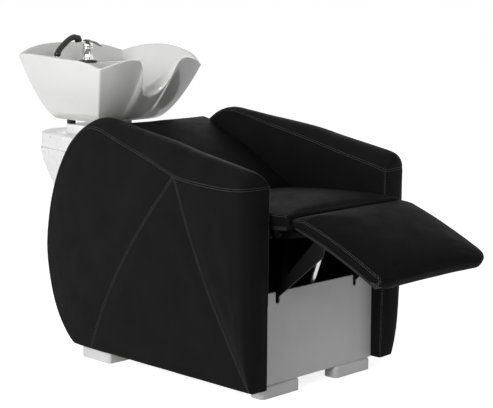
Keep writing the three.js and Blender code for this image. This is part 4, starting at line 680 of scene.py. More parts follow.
arm_leather = leather("arm_leather", 0.0085)
# The cushions use the arm leather painted darker: painted shade on the cushions' upward-facing tops.
cushion_leather = leather("cushion_leather", 0.005)
grey_thread = thread("grey_thread")
white_glaze = glaze("white_glaze")
column_white = moulded("column_white", 0.88, low=0.24, high=0.34, peel=0.01)
foot_white = moulded("foot_white", 0.7, low=0.38, high=0.5)
skirt_grey = moulded("skirt_grey", 0.6, low=0.34, high=0.46, peel=0.04)
black_plastic = moulded("black_plastic", 0.012, low=0.22, high=0.34)
gloss_black = moulded("gloss_black", 0.008, low=0.1, high=0.2, peel=0.01)
black_rubber = moulded("black_rubber", 0.016, low=0.6, high=0.8, peel=0.12)
powder_coat = coated_steel("powder_coat", 0.004)
zinc = metal("zinc", 0.62, low=0.22, high=0.38)
chrome = metal("chrome", 0.78, low=0.05, high=0.1, scratch=0.004)
dark_chrome = metal("dark_chrome", 0.11, low=0.1, high=0.2, scratch=0.006)
turned_brass = metal("turned_brass", 0.6, low=0.25, high=0.4, tint=(1, 0.78, 0.42))
birch = plywood("birch", (0.42, 0.28, 0.15), (0.62, 0.45, 0.27))
# Near-black plywood for the boards under the pads: painted shade, standing in for the shade under the seat,
# back and legrest.
shade_black_board = plywood("shade_black_board", (0.002, 0.0018, 0.0016), (0.005, 0.0046, 0.0042))

NODE_FINISHES = {
    "plywood": birch,
    "black_steel": powder_coat,
    "bright_steel": zinc,
    "foot_plastic": foot_white,
    "column_plastic": column_white,
    "skirt_panel": skirt_grey,
    "black_plastic": black_plastic,
    "rubber": black_rubber,
    "ceramic": white_glaze,
    "brass": turned_brass,
    "chrome": chrome,
    "arm_leather": arm_leather,
    "cushion_leather": cushion_leather,
}
# Boards that get the near-black plywood, painted shade under the pads.
SHADE_BLACK_BOARDS = ("seat_board", "back_board", "legrest_board")


def finish_nodes():
    """The frame's own nodes get the finish of their material slot; the boards under the pads get near-black
    plywood instead, painted shade for the shade under the pads.
    """
    for part in frame["record"]["subparts"]:
        node = frame["nodes"][part["node"]]
        for k in range(len(node.material_slots)):
            node.material_slots[k].material = NODE_FINISHES[part["material_slot"]]
    # Painted shade: the boards under the pads are made near black.
    for name in SHADE_BLACK_BOARDS:
        for slot in frame["nodes"][name].material_slots:
            slot.material = shade_black_board


# Upholstery: even out, swell between the seams, pinch the seams, sew
def point_tree(points):
    tree = kdtree.KDTree(len(points))
    for k, p in enumerate(points):
        tree.insert(p, k)
    tree.balance()
    return tree


def distances(points, line):
    """Distance in millimetres from each point, in metres, to a line of close points."""
    tree = point_tree(to_frame(line))
    return np.array([tree.find(p)[2] for p in points]) / MM


def line_length(line):
    return np.linalg.norm(np.diff(line, axis=0), axis=1).sum()


def seam_points(seams):
    return np.concatenate([even_points(s, max(2, int(line_length(s) / SEAM_SAMPLE))) for s in seams])


def pressed_out(coarse, hold, cap):
    """How far pressure moves each vertex of the coarse cover outward, as vectors."""
    rest = coords(coarse)
    group = coarse.vertex_groups.new(name="held")
    for level in range(1, HOLD_LEVELS + 1):
        chosen = np.nonzero(np.round(hold * HOLD_LEVELS) == level)[0].tolist()
        group.add(chosen, level / HOLD_LEVELS, "REPLACE")
    cloth = coarse.modifiers.new("swell", "CLOTH")
    cloth.settings.quality = SWELL_QUALITY
    cloth.settings.mass = SWELL_MASS
    cloth.settings.use_pressure = True
    cloth.settings.uniform_pressure_force = SWELL_PRESSURE
    cloth.settings.effector_weights.gravity = 0
    cloth.settings.vertex_group_mass = "held"
    cloth.collision_settings.use_collision = False
    cloth.point_cache.frame_start = 1
    cloth.point_cache.frame_end = SWELL_FRAMES
    scene = bpy.context.scene
    for number in range(1, SWELL_FRAMES + 1):
        scene.frame_set(number)
    swollen = coarse.evaluated_get(bpy.context.evaluated_depsgraph_get())
    flat = np.empty(len(rest) * 3)
    swollen.data.vertices.foreach_get("co", flat)
    normals = vertex_normals(coarse)
    outward = ((flat.reshape(-1, 3) - rest) * normals).sum(axis=1, keepdims=True)
    scene.frame_set(1)
    return normals * np.clip(outward, 0, cap * MM)


def swell(cover, seams, held, cap):
    """Pressure swells a coarse copy of the cover, held at its seams, and the cover follows it."""
    coarse = remesh(duplicate(cover, "coarse"), SWELL_VOXEL)
    rest = coords(coarse)
    near = distances(rest, seam_points(seams))
    hold = np.maximum(1 - smoothstep(near, SEAM_HOLD, 3 * SEAM_HOLD), held(rest / MM - SHIFT))
    move = pressed_out(coarse, hold, cap)
    bpy.data.objects.remove(coarse)
    tree = point_tree(rest)
    points = coords(cover)
    for i, p in enumerate(points.copy()):
        found = tree.find_n(p, SWELL_NEIGHBOURS)
        weights = np.array([1 / (d + MM) ** 2 for _, _, d in found])
        points[i] += (move[[k for _, k, _ in found]] * weights[:, None]).sum(0) / weights.sum()
    set_coords(cover, points)


def pinch(cover, seams):
    points, normals = coords(cover), vertex_normals(cover)
    near = distances(points, seam_points(seams))
    depth = SEAM_DEPTH * np.exp(-(near / SEAM_WIDTH) ** 2) * MM
    set_coords(cover, points - normals * depth[:, None])


def unevenness(cover, height, wave):
    """A slow, seeded ripple along the normals, so that leather isn't a perfect surface."""
    points, normals = coords(cover), vertex_normals(cover)
    random = np.random.default_rng(RIPPLE_SEED)
    lift = np.zeros(len(points))
    for _ in range(RIPPLE_WAVES):
        direction = random.normal(size=3)
        direction /= np.linalg.norm(direction)
        length = wave * random.uniform(0.6, 1.6) * MM
        lift += np.sin(points @ direction * (2 * math.pi / length) + random.uniform(0, 2 * math.pi))
    lift *= height * MM / math.sqrt(RIPPLE_WAVES)
    set_coords(cover, points + normals * lift[:, None])


def add_stitch(points, faces, start, centre, end, up):
    """A short spindle of square section from start to end, thickest about its centre."""
    along = (end - start) / np.linalg.norm(end - start)
    half, high = np.cross(along, up) * STITCH_WIDTH / 2 * MM, up * STITCH_HEIGHT * MM
    first = len(points)
    points.append(start - high * STITCH_SINK)
    for share in (-STITCH_SHOULDER, STITCH_SHOULDER):
        p = centre + along * share * (STITCH_LENGTH / 2) * MM
        points.extend([p - half, p + high, p + half, p - high])
    points.append(end - high * STITCH_SINK)
    for i in range(4):
        j = (i + 1) % 4
        faces.append((first, first + 1 + j, first + 1 + i))
        faces.append((first + 1 + i, first + 1 + j, first + 5 + j, first + 5 + i))
        faces.append((first + 5 + i, first + 5 + j, first + 9))


def sew(name, cover, seams, body):
    """Two rows of stitches along each seam, lying on the cover."""
    tree = BVHTree.FromObject(cover, bpy.context.evaluated_depsgraph_get())
    points, faces = [], []

    def on_cover(p):
        place, normal, _, _ = tree.find_nearest(Vector(p))
        return np.array(place), np.array(normal)

    for seam in seams:
        count = int(line_length(seam) / STITCH_PITCH)
        line = to_frame(even_points(seam, 2 * count + 1))
        for side in (-1, 1):
            for k in range(count):
                along = line[2 * k + 2] - line[2 * k]
                along /= np.linalg.norm(along)
                _, normal = on_cover(line[2 * k + 1])
                middle = line[2 * k + 1] + np.cross(along, normal) * side * STITCH_SPREAD * MM
                reach = along * (STITCH_LENGTH / 2) * MM
                start, _ = on_cover(middle - reach)
                centre, up = on_cover(middle)
                end, _ = on_cover(middle + reach)
                add_stitch(points, faces, start, centre, end, up)
    mesh = bpy.data.meshes.new(name)
    mesh.from_pydata([tuple(p) for p in points], [], faces)
    for polygon in mesh.polygons:
        polygon.use_smooth = True
    return place_piece(scene_object(name, mesh), body, grey_thread)


# Arms
def arm_seam(foot_depth, foot_share, bow):
    """Line of a seam from the bottom of the arm to its apex, as a function of the height share."""
    foot_y = foot_share * ARM_LENGTH
    apex_y, rise = ARM_APEX[0] * ARM_LENGTH, ARM_APEX[1] * ARM_RISE

    def at(t):
        t = np.asarray(t, float)
        depth = lerp(foot_depth, ARM_DEPTH_APEX, 1 - (1 - t) ** ARM_SWELL_POWER)
        y = lerp(foot_y, apex_y, t) + bow * np.sin(np.pi * t)
        return np.stack([ARM_SPAN / 2 + depth, y, ARM_CLEARANCE + rise * t], axis=-1)

    return at


def arm_front_section(t, seam_end, inner_top, apex_z):
    """Plan line of the wrapped front at a height share, from the inner edge to the front seam."""
    inner = ARM_SPAN / 2
    lean = ARM_FRONT_LEAN * (1 - t)
    corner = lerp(ARM_FRONT_CORNER_LOW, ARM_FRONT_CORNER, t ** ARM_CORNER_POWER)
    width = lerp(ARM_FRONT_WIDTH_LOW, ARM_FRONT_WIDTH, 1 - (1 - t) ** ARM_FRONT_WIDTH_POWER)
    width += ARM_CORNER_PUSH * (corner - ARM_FRONT_CORNER_LOW)
    corner_y = lean + corner
    controls = [(inner + width * across, lean + corner * along, 0) for across, along in ARM_FRONT_PLAN]
    across, along = ARM_FRONT_MERGE
    controls.append((lerp(inner + width, seam_end[0], across), lerp(corner_y, seam_end[1], along), 0))
    controls.append((seam_end[0], seam_end[1], 0))
    shares = np.linspace(0, 1, ARM_FRONT_COLUMNS + 1)
    row = curve_points(controls, shares)
    row[:, 2] = lerp(ARM_CLEARANCE, lerp(inner_top, apex_z, shares ** ARM_FRONT_TOP_POWER), t)
    row[0] = (inner, lean, lerp(ARM_CLEARANCE, inner_top, t))
    row[-1] = seam_end
    return row


def arm_inner_line(outer_line, apex_z):
    """The inner seam's point across from each point of the outer line."""
    seam_y, seam_z = smooth_table(ARM_INNER_SEAM)
    roll_end = ARM_INNER_SEAM[-1][0] * ARM_LENGTH
    line = []
    for k, p in enumerate(outer_line):
        on_top = k <= ARM_FRONT_COLUMNS or (p[1] < roll_end and p[2] > apex_z)
        z = ARM_CLEARANCE + ARM_RISE * np.interp(p[1] / ARM_LENGTH, seam_y, seam_z) if on_top else p[2]
        line.append((ARM_SPAN / 2, p[1], z))
    line = np.array(line)
    line[0] = outer_line[0]
    return line


def unit(vector):
    return vector / (np.linalg.norm(vector) or 1)


def arm_band(outer_line, inner_line, inner_top):
    """The rolled top and rear edge between the outer and the inner seam."""
    crown_y, crown_h = smooth_table(ARM_CROWN)
    roll_end = ARM_INNER_SEAM[-1][0] * ARM_LENGTH
    shares = np.linspace(0, 1, ARM_BAND_ROWS + 1)
    last = len(outer_line) - 1
    band = []
    for i, outer in enumerate(outer_line):
        before, after = inner_line[max(i - 1, 0)], inner_line[min(i + 1, last)]
        chord = unit(inner_line[i] - outer)
        up = unit(np.array([0, before[2] - after[2], after[1] - before[1]]))
        lift = unit(up - chord * (up @ chord))
        on_top = outer[1] < roll_end and outer[2] > inner_top - 0.3
        crown = np.interp(outer[1] / ARM_LENGTH, crown_y, crown_h) if on_top else ARM_REAR_CROWN
        fade = 0 if i in (0, last) else 1
        height = crown * ARM_RISE * np.sin(np.pi * shares) ** ARM_BAND_POWER * fade
        band.append(outer + (inner_line[i] - outer) * shares[:, None] + lift * height[:, None])
    return band


def arm_cover_and_seams():
    apex_z = ARM_CLEARANCE + ARM_APEX[1] * ARM_RISE
    inner_top = ARM_CLEARANCE + ARM_INNER_SEAM[0][1] * ARM_RISE
    front_seam = arm_seam(ARM_DEPTH_LOW_FRONT, ARM_FRONT_SEAM_FOOT, ARM_FRONT_SEAM_BOW)
    rear_seam = arm_seam(ARM_DEPTH_LOW_REAR, ARM_REAR_SEAM_FOOT, ARM_REAR_SEAM_BOW)
    heights = np.linspace(0, 1, ARM_ROWS + 1)

    controls = [(ARM_SPAN / 2 + d * ARM_DEPTH_APEX, y * ARM_LENGTH, ARM_CLEARANCE + z * ARM_RISE)
                for y, z, d in ARM_REAR_OUTLINE]
    outline = even_points(curve_points(controls, np.linspace(0, 1, ARM_OUTLINE_SAMPLES)), ARM_ROWS + 1)
    front = np.array([arm_front_section(t, front_seam(t), inner_top, apex_z) for t in heights])
    side = np.array([lerp(front_seam(heights), rear_seam(heights), w)
                     for w in np.linspace(0, 1, ARM_SIDE_COLUMNS + 1)])
    rear = []
    for w in np.linspace(0, 1, ARM_REAR_COLUMNS + 1):
        column = lerp(rear_seam(heights), outline, w)
        column[:, 0] += ARM_PANEL_PILLOW * math.sin(math.pi * w) * np.sin(np.pi * heights)
        rear.append(column)

    outer_line = np.concatenate([front[-1], outline[::-1][1:]])
    inner_line = arm_inner_line(outer_line, apex_z)
    band = arm_band(outer_line, inner_line, inner_top)
    inner_loop = np.concatenate([front[:, 0], inner_line[1:]])
    bottom_loop = np.concatenate([front[0], side[1:, 0], np.array(rear)[1:, 0], np.array(band)[-1, 1:]])
    cover = patch_object("left_arm", [front, side, rear, band], [inner_loop, bottom_loop])

    roll_end = ARM_INNER_SEAM[-1][0] * ARM_LENGTH
    top_end = int(np.argmax(outer_line[:, 1] > roll_end)) or len(outer_line) - 1
    seams = [front_seam(heights), rear_seam(heights), outer_line[:-1], inner_line[:top_end], front[:, 0]]
    return cover, seams


def build_arms():
    cover, seams = arm_cover_and_seams()
    remesh(cover, ARM_VOXEL)
    relax(cover, RELAX_ROUNDS)

    def held(points):
        inside = points[:, 0] < ARM_SPAN / 2 + ARM_HELD_INSIDE
        low = points[:, 2] < ARM_CLEARANCE + ARM_HELD_LOW
        return (inside | low).astype(float)

    swell(cover, seams, held, ARM_SWELL_CAP)
    unevenness(cover, *ARM_RIPPLE)
    pinch(cover, seams)
    other = mirrored(cover, "right_arm")
    flipped = [line * np.array([-1, 1, 1]) for line in seams]
    for side, piece, rows in (("left", cover, seams), ("right", other, flipped)):
        place_piece(piece, "base", arm_leather, [f"{side}_arm_cover"])
        sew(f"{side}_arm_stitching", piece, rows, "base")


# Cushions
def pad_plan(half, length, head_corner, toe_corner, corner_steps=12, side_steps=40):
    plan = []
    corners = [
        (half, 0, head_corner, -math.pi / 2),
        (half, length, toe_corner, 0),
        (-half, length, toe_corner, math.pi / 2),
        (-half, 0, head_corner, math.pi),
    ]

    def centre(x, s, radius):
        return x - math.copysign(radius, x), radius if s == 0 else s - radius

    for index, (x, s, radius, start) in enumerate(corners):
        cx, cs = centre(x, s, radius)
        for k in range(corner_steps + 1):
            angle = start + (k / corner_steps) * (math.pi / 2)
            plan.append((cx + radius * math.cos(angle), cs + radius * math.sin(angle)))
        nx, ns, next_radius, next_start = corners[(index + 1) % 4]
        ncx, ncs = centre(nx, ns, next_radius)
        first = plan[-1]
        second = (ncx + next_radius * math.cos(next_start), ncs + next_radius * math.sin(next_start))
        for k in range(1, side_steps):
            t = k / side_steps
            pull = PAD_DRAW_IN * math.sin(math.pi * t)
            px, ps = lerp(first[0], second[0], t), lerp(first[1], second[1], t)
            if index % 2 == 0:
                px -= math.copysign(pull, px)
            elif index == 1:
                ps -= pull
            plan.append((px, ps))
    return np.array(plan)


def pad_rings(half, length, head_corner, toe_corner, thickness, crown, place):
    """Rings from the spine under the pad, up its boxed side and over its crown."""
    plan = pad_plan(half, length, head_corner, toe_corner)
    middle = length / 2

    def ring(inset, shrink, height):
        keep = 1 - shrink
        x = (plan[:, 0] - plan[:, 0] / half * inset) * keep
        s = middle + (plan[:, 1] - middle) * (1 - inset / middle) * keep
        return place(x, s, height(np.clip(s / length, 0, 1)))

    spine_s = np.clip(plan[:, 1], PAD_SPINE_MARGIN, length - PAD_SPINE_MARGIN)
    rings = [place(np.zeros(len(plan)), spine_s, np.zeros(len(plan)))]
    for rise, inset in zip(*smooth_table(PAD_SIDE_PROFILE, PAD_SIDE_RINGS)):
        rings.append(ring(inset * PAD_EDGE_INSET, 0, lambda s, r=rise: r * thickness(s)))
    for share in np.linspace(*PAD_CROWN_SHARES, PAD_CROWN_RINGS):
        lift = crown * (1 - (1 - share) ** PAD_CROWN_POWER)
        rings.append(ring(PAD_EDGE_INSET, share, lambda s, h=lift: thickness(s) + h))
    return rings


SEAT_SLOPE = -math.atan2(SEAT_FALL, SEAT_LENGTH)
BACK_SLOPE = math.radians(BACK_RECLINE)
LEG_START, LEG_END = (math.radians(a) for a in LEGREST_ANGLES)
LEG_RADIUS = LEGREST_LENGTH / (LEG_END - LEG_START)


def stacked(x, y, z):
    x, y, z = np.broadcast_arrays(x, y, z)
    return np.stack([x, y, z], axis=-1).astype(float)


def seat_point(x, s, h):
    return stacked(x, SEAT_FRONT + s - h * math.sin(SEAT_SLOPE), SEAT_BASE + s * math.tan(SEAT_SLOPE) + h)


def back_point(x, s, h):
    h = h - BACK_THICKNESS
    y = BACK_FOOT[0] + s * math.cos(BACK_SLOPE) - h * math.sin(BACK_SLOPE)
    return stacked(x, y, BACK_FOOT[1] + s * math.sin(BACK_SLOPE) + h * math.cos(BACK_SLOPE))


def legrest_point(x, s, h):
    angle = lerp(LEG_START, LEG_END, s / LEGREST_LENGTH)
    y = SEAT_FRONT - LEGREST_HEAD_GAP - LEG_RADIUS * (np.sin(angle) - math.sin(LEG_START))
    z = SEAT_BASE + BOARD_THICKNESS / 2 + LEG_RADIUS * (np.cos(angle) - math.cos(LEG_START))
    return stacked(x, y - h * np.sin(angle), z + h * np.cos(angle))


def seat_thickness(t):
    return lerp(SEAT_THICKNESS, SEAT_THICKNESS * SEAT_REAR_SWELL, np.minimum(1, t * 2))


def back_thickness(t):
    return BACK_THICKNESS + 4 * BACK_ARCH * t * (1 - t)


def legrest_thickness(t):
    keys, values = zip(*LEGREST_RISE)
    return LEGREST_THICKNESS * np.interp(t, keys, values)


def side_seams(half, length, thickness, place, margins, curl=0):
    """Seam at the top of the boxed side, on both sides. With a curl it turns under round the toe."""
    start, end = margins[0], length - margins[1]
    s = np.linspace(start, end, PAD_SEAM_POINTS)
    x = half - PAD_EDGE_INSET * 0.5
    h = thickness(s / length) * PAD_SEAM_LEVEL
    if curl:
        angles = np.linspace(0, math.pi, PAD_CURL_POINTS)[1:]
        top = thickness(np.array([1.0]))[0] * PAD_SEAM_LEVEL
        s = np.concatenate([s, end + curl * np.sin(angles), [end - PAD_CURL_END]])
        h = np.concatenate([h, top / 2 + top / 2 * np.cos(angles), [0]])
    return [place(np.full(len(s), sign * x), s, h) for sign in (-1, 1)]


def held_below(foot, slope, margin):
    """Holds what lies under a slanting plane through the foot (y, z), raised by the margin."""
    return lambda points: (points[:, 2] < foot[1] + (points[:, 1] - foot[0]) * slope + margin).astype(float)


def build_pad(name, node, body, rings, seams, held):
    cover = ring_object(name, rings, cap_start=False)
    remesh(cover, PAD_VOXEL)
    relax(cover, RELAX_ROUNDS)
    swell(cover, seams, held, PAD_SWELL_CAP)
    relax(cover, 1)
    unevenness(cover, *PAD_RIPPLE)
    pinch(cover, seams)
    place_piece(cover, body, cushion_leather, [node])
    sew(f"{name}_stitching", cover, seams, body)


def build_cushions():
    form = (SEAT_HALF, SEAT_LENGTH)
    rings = pad_rings(*form, PAD_BACK_CORNER, PAD_BACK_CORNER, seat_thickness, SEAT_CROWN, seat_point)
    seams = side_seams(*form, seat_thickness, seat_point, SEAT_SEAM_MARGINS)
    held = held_below((SEAT_FRONT, SEAT_BASE), math.tan(SEAT_SLOPE), SEAT_HELD)
    build_pad("seat", "seat_cushion", "base", rings, seams, held)

    form = (BACK_HALF, BACK_LENGTH)
    rings = pad_rings(*form, PAD_BACK_CORNER, 2 * PAD_BACK_CORNER, back_thickness, BACK_CROWN, back_point)
    seams = side_seams(*form, back_thickness, back_point, BACK_SEAM_MARGINS)
    base_z = BACK_FOOT[1] - BACK_THICKNESS / math.cos(BACK_SLOPE)
    held = held_below((BACK_FOOT[0], base_z), math.tan(BACK_SLOPE), BACK_HELD)
    build_pad("back", "back_cushion", "base", rings, seams, held)

    form = (LEGREST_HALF, LEGREST_LENGTH)
    rings = pad_rings(*form, PAD_BACK_CORNER, PAD_CORNER, legrest_thickness, LEGREST_CROWN, legrest_point)
    seams = side_seams(*form, legrest_thickness, legrest_point, LEGREST_SEAM_MARGINS, LEGREST_SEAM_CURL)
    head, toe = legrest_point(0, 0, 0), legrest_point(0, LEGREST_LENGTH, 0)
    held = held_below(head[1:], (toe[2] - head[2]) / (toe[1] - head[1]), LEGREST_HELD)
    build_pad("legrest", "legrest_pad", "legrest", rings, seams, held)


# Column
def column_outline(z, inset):
    """Plan of the column at a height: flared sides and a bulged rear, open towards the chair."""
    t = (z - COLUMN_BOTTOM) / (COLUMN_TOP - COLUMN_BOTTOM)
    share = np.interp(t, *smooth_table(COLUMN_REAR_SHARES))
    rear = lerp(*COLUMN_REAR, share) - inset
    half = lerp(*COLUMN_HALF, share) - inset
    front_half = half + (rear - COLUMN_FRONT) * math.tan(math.radians(COLUMN_FLARE))
    angles = np.linspace(0, math.pi, COLUMN_ARC_STEPS + 1)
    across = np.sign(np.cos(angles)) * np.abs(np.cos(angles)) ** COLUMN_BULGE_POWER
    bulge = COLUMN_BULGE * half * np.sin(angles) ** COLUMN_BULGE_POWER
    sides = np.linspace(0, 1, COLUMN_SIDE_STEPS + 1)[:-1]
    right = [(lerp(front_half, half, w), lerp(COLUMN_FRONT, rear, w)) for w in sides]
    left = [(-x, y) for x, y in right[::-1]]
    plan = right + list(zip(half * across, rear + bulge)) + left
    return np.array([(x, y, z) for x, y in plan])


def rounded_levels(low, high, inset, radius):
    """Heights and insets of a wall whose top edge is rounded."""
    levels = list(np.linspace(low, high - radius, COLUMN_LEVELS))
    insets = [inset] * len(levels)
    for k in range(1, COLUMN_ROUND_STEPS + 1):
        angle = k / COLUMN_ROUND_STEPS * math.pi / 2
        levels.append(high - radius * (1 - math.sin(angle)))
        insets.append(inset + radius * (1 - math.cos(angle)))
    return levels, insets


def boot_hole(z, inset):
    """The outline at this height, drawn in to the round hole for the waste boot."""
    centre = np.array([0, BOWL_Y])
    away = column_outline(z, inset)[:, :2] - centre
    away /= np.linalg.norm(away, axis=1, keepdims=True)
    return np.column_stack([centre + away * BOOT_HOLE, np.full(len(away), z)])


def column_casing(name, node, low, high, inset, top_round, closed_top):
    """A wall open towards the chair, with a rounded top edge and, if closed, a top with a hole."""
    levels, insets = rounded_levels(low, high, inset, top_round)
    outer = [column_outline(z, i) for z, i in zip(levels, insets)]
    holes = [boot_hole(z, insets[-1]) for z in (high, high - COLUMN_WALL)] if closed_top else []
    inner_levels = np.linspace(high - COLUMN_WALL if closed_top else high, low, COLUMN_INNER_LEVELS)
    inner = [column_outline(z, inset + COLUMN_WALL) for z in inner_levels]
    rings = outer + holes + inner
    total, count = len(rings), len(outer[0])
    faces = []
    for k in range(total):
        start, following = k * count, ((k + 1) % total) * count
        faces += [(start + i, start + i + 1, following + i + 1, following + i) for i in range(count - 1)]

    # The wall's two front ends
    if closed_top:
        faces.append([k * count for k in range(total)])
        faces.append([k * count + count - 1 for k in range(total)][::-1])
    else:
        ratio = (len(inner) - 1) / (len(outer) - 1)
        for edge in (0, count - 1):
            for k in range(len(outer) - 1):
                facing, next_facing = total - 1 - round(k * ratio), total - 1 - round((k + 1) * ratio)
                quad = [n * count + edge for n in (k, k + 1, next_facing, facing)]
                faces.append(list(dict.fromkeys(quad)))
    casing = new_object(name, np.concatenate(rings), faces)
    place_piece(casing, "base", column_white, [node])


def build_column():
    column_casing("column_lower", "column_lower_casing", COLUMN_BOTTOM, COLUMN_SPLIT,
                  0, COLUMN_ROUND[0], closed_top=False)
    column_casing("column_upper", "column_upper_casing", COLUMN_SPLIT + COLUMN_GAP, COLUMN_TOP,
                  COLUMN_UPPER_INSET, COLUMN_ROUND[1], closed_top=True)


# Boxes and plates with rounded edges
def rounded_plan(x0, x1, y0, y1, corner, steps=10):
    plan = []
    for cx, cy, start in ((x1 - corner, y0 + corner, -0.5), (x1 - corner, y1 - corner, 0),
                          (x0 + corner, y1 - corner, 0.5), (x0 + corner, y0 + corner, 1)):
        for k in range(steps + 1):
            angle = (start + 0.5 * k / steps) * math.pi
            plan.append((cx + corner * math.cos(angle), cy + corner * math.sin(angle)))
    return np.array(plan)


def rounded_block(name, low, high, corner, top_round, bottom_round=0.5, steps=6):
    """A block between two corners in the design frame, with rounded plan corners, top and bottom edges."""
    rings = []
    stations = [(bottom_round * (1 - math.sin(a)), low[2] + bottom_round * (1 - math.cos(a)))
                for a in np.linspace(0, math.pi / 2, 3)]
    stations += [(top_round * (1 - math.cos(a)), high[2] - top_round * (1 - math.sin(a)))
                 for a in np.linspace(0, math.pi / 2, steps)]
    for inset, z in stations:
        x0, x1, y0, y1 = low[0] + inset, high[0] - inset, low[1] + inset, high[1] - inset
        plan = rounded_plan(x0, x1, y0, y1, max(corner - inset, 1))
        rings.append(np.column_stack([plan, np.full(len(plan), z)]))
    return ring_object(name, rings)


def design_box(node):
    low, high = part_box(node)
    return np.array(low) / MM - SHIFT, np.array(high) / MM - SHIFT


def build_block(name, node, material, rounds):
    """The node's box with rounded corners in plan and a rounded top edge."""
    block = rounded_block(name, *design_box(node), *rounds)
    place_piece(block, "base", material, [node])


def build_blocks():
    build_block("neck_cover", "neck_block", column_white, NECK_ROUND)
    for side in ("left", "right"):
        build_block(f"{side}_buffer_pad", f"{side}_rubber_buffer", black_rubber, BUFFER_ROUND)
    for side in ("left", "right"):
        for end in ("front", "rear"):
            node = f"{side}_{end}_foot"
            build_block(f"{node}_pad", node, foot_white, FOOT_ROUND)


def build_skirt():
    """A panel with two open slots, extruded along y, with eased edges."""
    outline = [(-SKIRT_HALF, ARM_CLEARANCE), (SKIRT_HALF, ARM_CLEARANCE), (SKIRT_HALF, SKIRT_TOP)]
    radius = SLOT_WIDTH / 2
    low = SKIRT_TOP - SLOT_DEPTH + radius
    for x in (SLOT_X, -SLOT_X):
        outline.append((x + radius, SKIRT_TOP))
        for angle in np.linspace(0, -math.pi, SLOT_ARC_POINTS):
            outline.append((x + radius * math.cos(angle), low + radius * math.sin(angle)))
        outline.append((x - radius, SKIRT_TOP))
    outline.append((-SKIRT_HALF, SKIRT_TOP))
    count = len(outline)
    points = [(x, y, z) for y in (SKIRT_Y, SKIRT_Y + SKIRT_THICKNESS) for x, z in outline]
    faces = [(i, (i + 1) % count, count + (i + 1) % count, count + i) for i in range(count)]
    faces += [list(range(count)), list(range(count, 2 * count))[::-1]]
    skirt = new_object("skirt", points, faces, smooth=False)
    bevel(skirt, PANEL_BEVEL)
    place_piece(skirt, "base", skirt_grey, ["front_skirt"])


def build_rear_cover():
    low, high = design_box("rear_cover")
    points = [(x, y, z) for x in (low[0], high[0]) for y in (low[1], high[1]) for z in (low[2], high[2])]
    faces = [(0, 1, 3, 2), (4, 6, 7, 5), (0, 4, 5, 1), (2, 3, 7, 6), (0, 2, 6, 4), (1, 5, 7, 3)]
    panel = new_object("rear_panel", points, faces, smooth=False)
    bevel(panel, REAR_COVER_BEVEL)
    place_piece(panel, "base", black_plastic, ["rear_cover"])


# Basin
def rim_half():
    def scaled(rows):
        return np.array([(x * BASIN_HALF, BASIN_FRONT + y * BASIN_DEPTH, BASIN_BOTTOM + z * BASIN_HEIGHT)
                         for x, y, z in rows])

    middle = BASIN_FRONT + BASIN_DEPTH / 2
    keep = 1 - RIM_THICKNESS / BASIN_HALF
    outer, inner = [], []
    for section, (rows, steps) in enumerate(((RIM_FRONT, RIM_FRONT_STEPS), (RIM_SIDE, RIM_SIDE_STEPS),
                                             (RIM_BACK, RIM_BACK_STEPS))):
        points = scaled(rows)
        moved = points.copy()
        moved[:, 0] *= keep
        moved[:, 1] = middle + (points[:, 1] - middle) * keep
        if section == 0:
            lip = np.array(NOTCH_LIP) * LIP_WIDTH
            moved[:len(lip)] = points[:len(lip)] + lip
        shares = np.linspace(0, 1, steps + 1)[0 if section == 0 else 1:]
        outer.append(curve_points(points, shares))
        inner.append(curve_points(moved, shares))
    return np.concatenate(outer), np.concatenate(inner)


def near_side_drop(points):
    start, end = RIM_DROP_SPAN
    along = ((points[:, 1] - BASIN_FRONT) / BASIN_DEPTH - start) / (end - start)
    return RIM_DROP * np.sin(np.pi * np.clip(along, 0, 1)) * smoothstep(points[:, 0], *RIM_DROP_ACROSS)


def whole_ring(half):
    other = half[1:-1][::-1].copy()
    other[:, 2] -= near_side_drop(other)
    other[:, 0] *= -1
    return np.concatenate([half, other])


def foot_half():
    front = np.linspace(0, 1, RIM_FRONT_STEPS + 1)
    side = np.linspace(0, 1, RIM_SIDE_STEPS + 1)[1:]
    back = np.linspace(0, 1, RIM_BACK_STEPS + 1)[1:]
    return np.concatenate([
        stacked(FOOT_HALF[0] * front, FOOT_FRONT, BASIN_BOTTOM),
        stacked(lerp(*FOOT_HALF, side), lerp(FOOT_FRONT, FOOT_REAR, side), BASIN_BOTTOM),
        stacked(FOOT_HALF[1] * (1 - back), FOOT_REAR, BASIN_BOTTOM),
    ])


def circle_half(radius, z, reach=None):
    count = RIM_FRONT_STEPS + RIM_SIDE_STEPS + RIM_BACK_STEPS
    angles = np.linspace(-math.pi / 2, math.pi / 2, count + 1)
    depth = np.where(np.sin(angles) < 0, *(reach or (radius, radius)))
    return stacked(radius * np.cos(angles), BOWL_Y + depth * np.sin(angles), z)


def risen(start, end, level):
    """A ring between two others that widens quickly and rises evenly."""
    ring = lerp(start, end, level ** BODY_SWELL)
    ring[:, 2] = lerp(start[:, 2], end[:, 2], level)
    return ring


def rim_roll(outer, inner):
    """The rim rolls over from the outer to the inner edge."""
    chord = inner - outer
    width = np.linalg.norm(chord, axis=1, keepdims=True)
    inward = chord / width
    up = np.array([0, 0, 1.0]) - inward * inward[:, 2:3]
    up /= np.linalg.norm(up, axis=1, keepdims=True)
    wide = smoothstep(width, RIM_THICKNESS, LIP_WIDTH)
    height = lerp(RIM_ROUND, LIP_ROUND_SHARE * width, wide)
    return [lerp(outer, inner, (1 - math.cos(angle)) / 2) + up * height * math.sin(angle)
            for angle in np.linspace(0, math.pi, RIM_ROLL_STEPS + 1)]


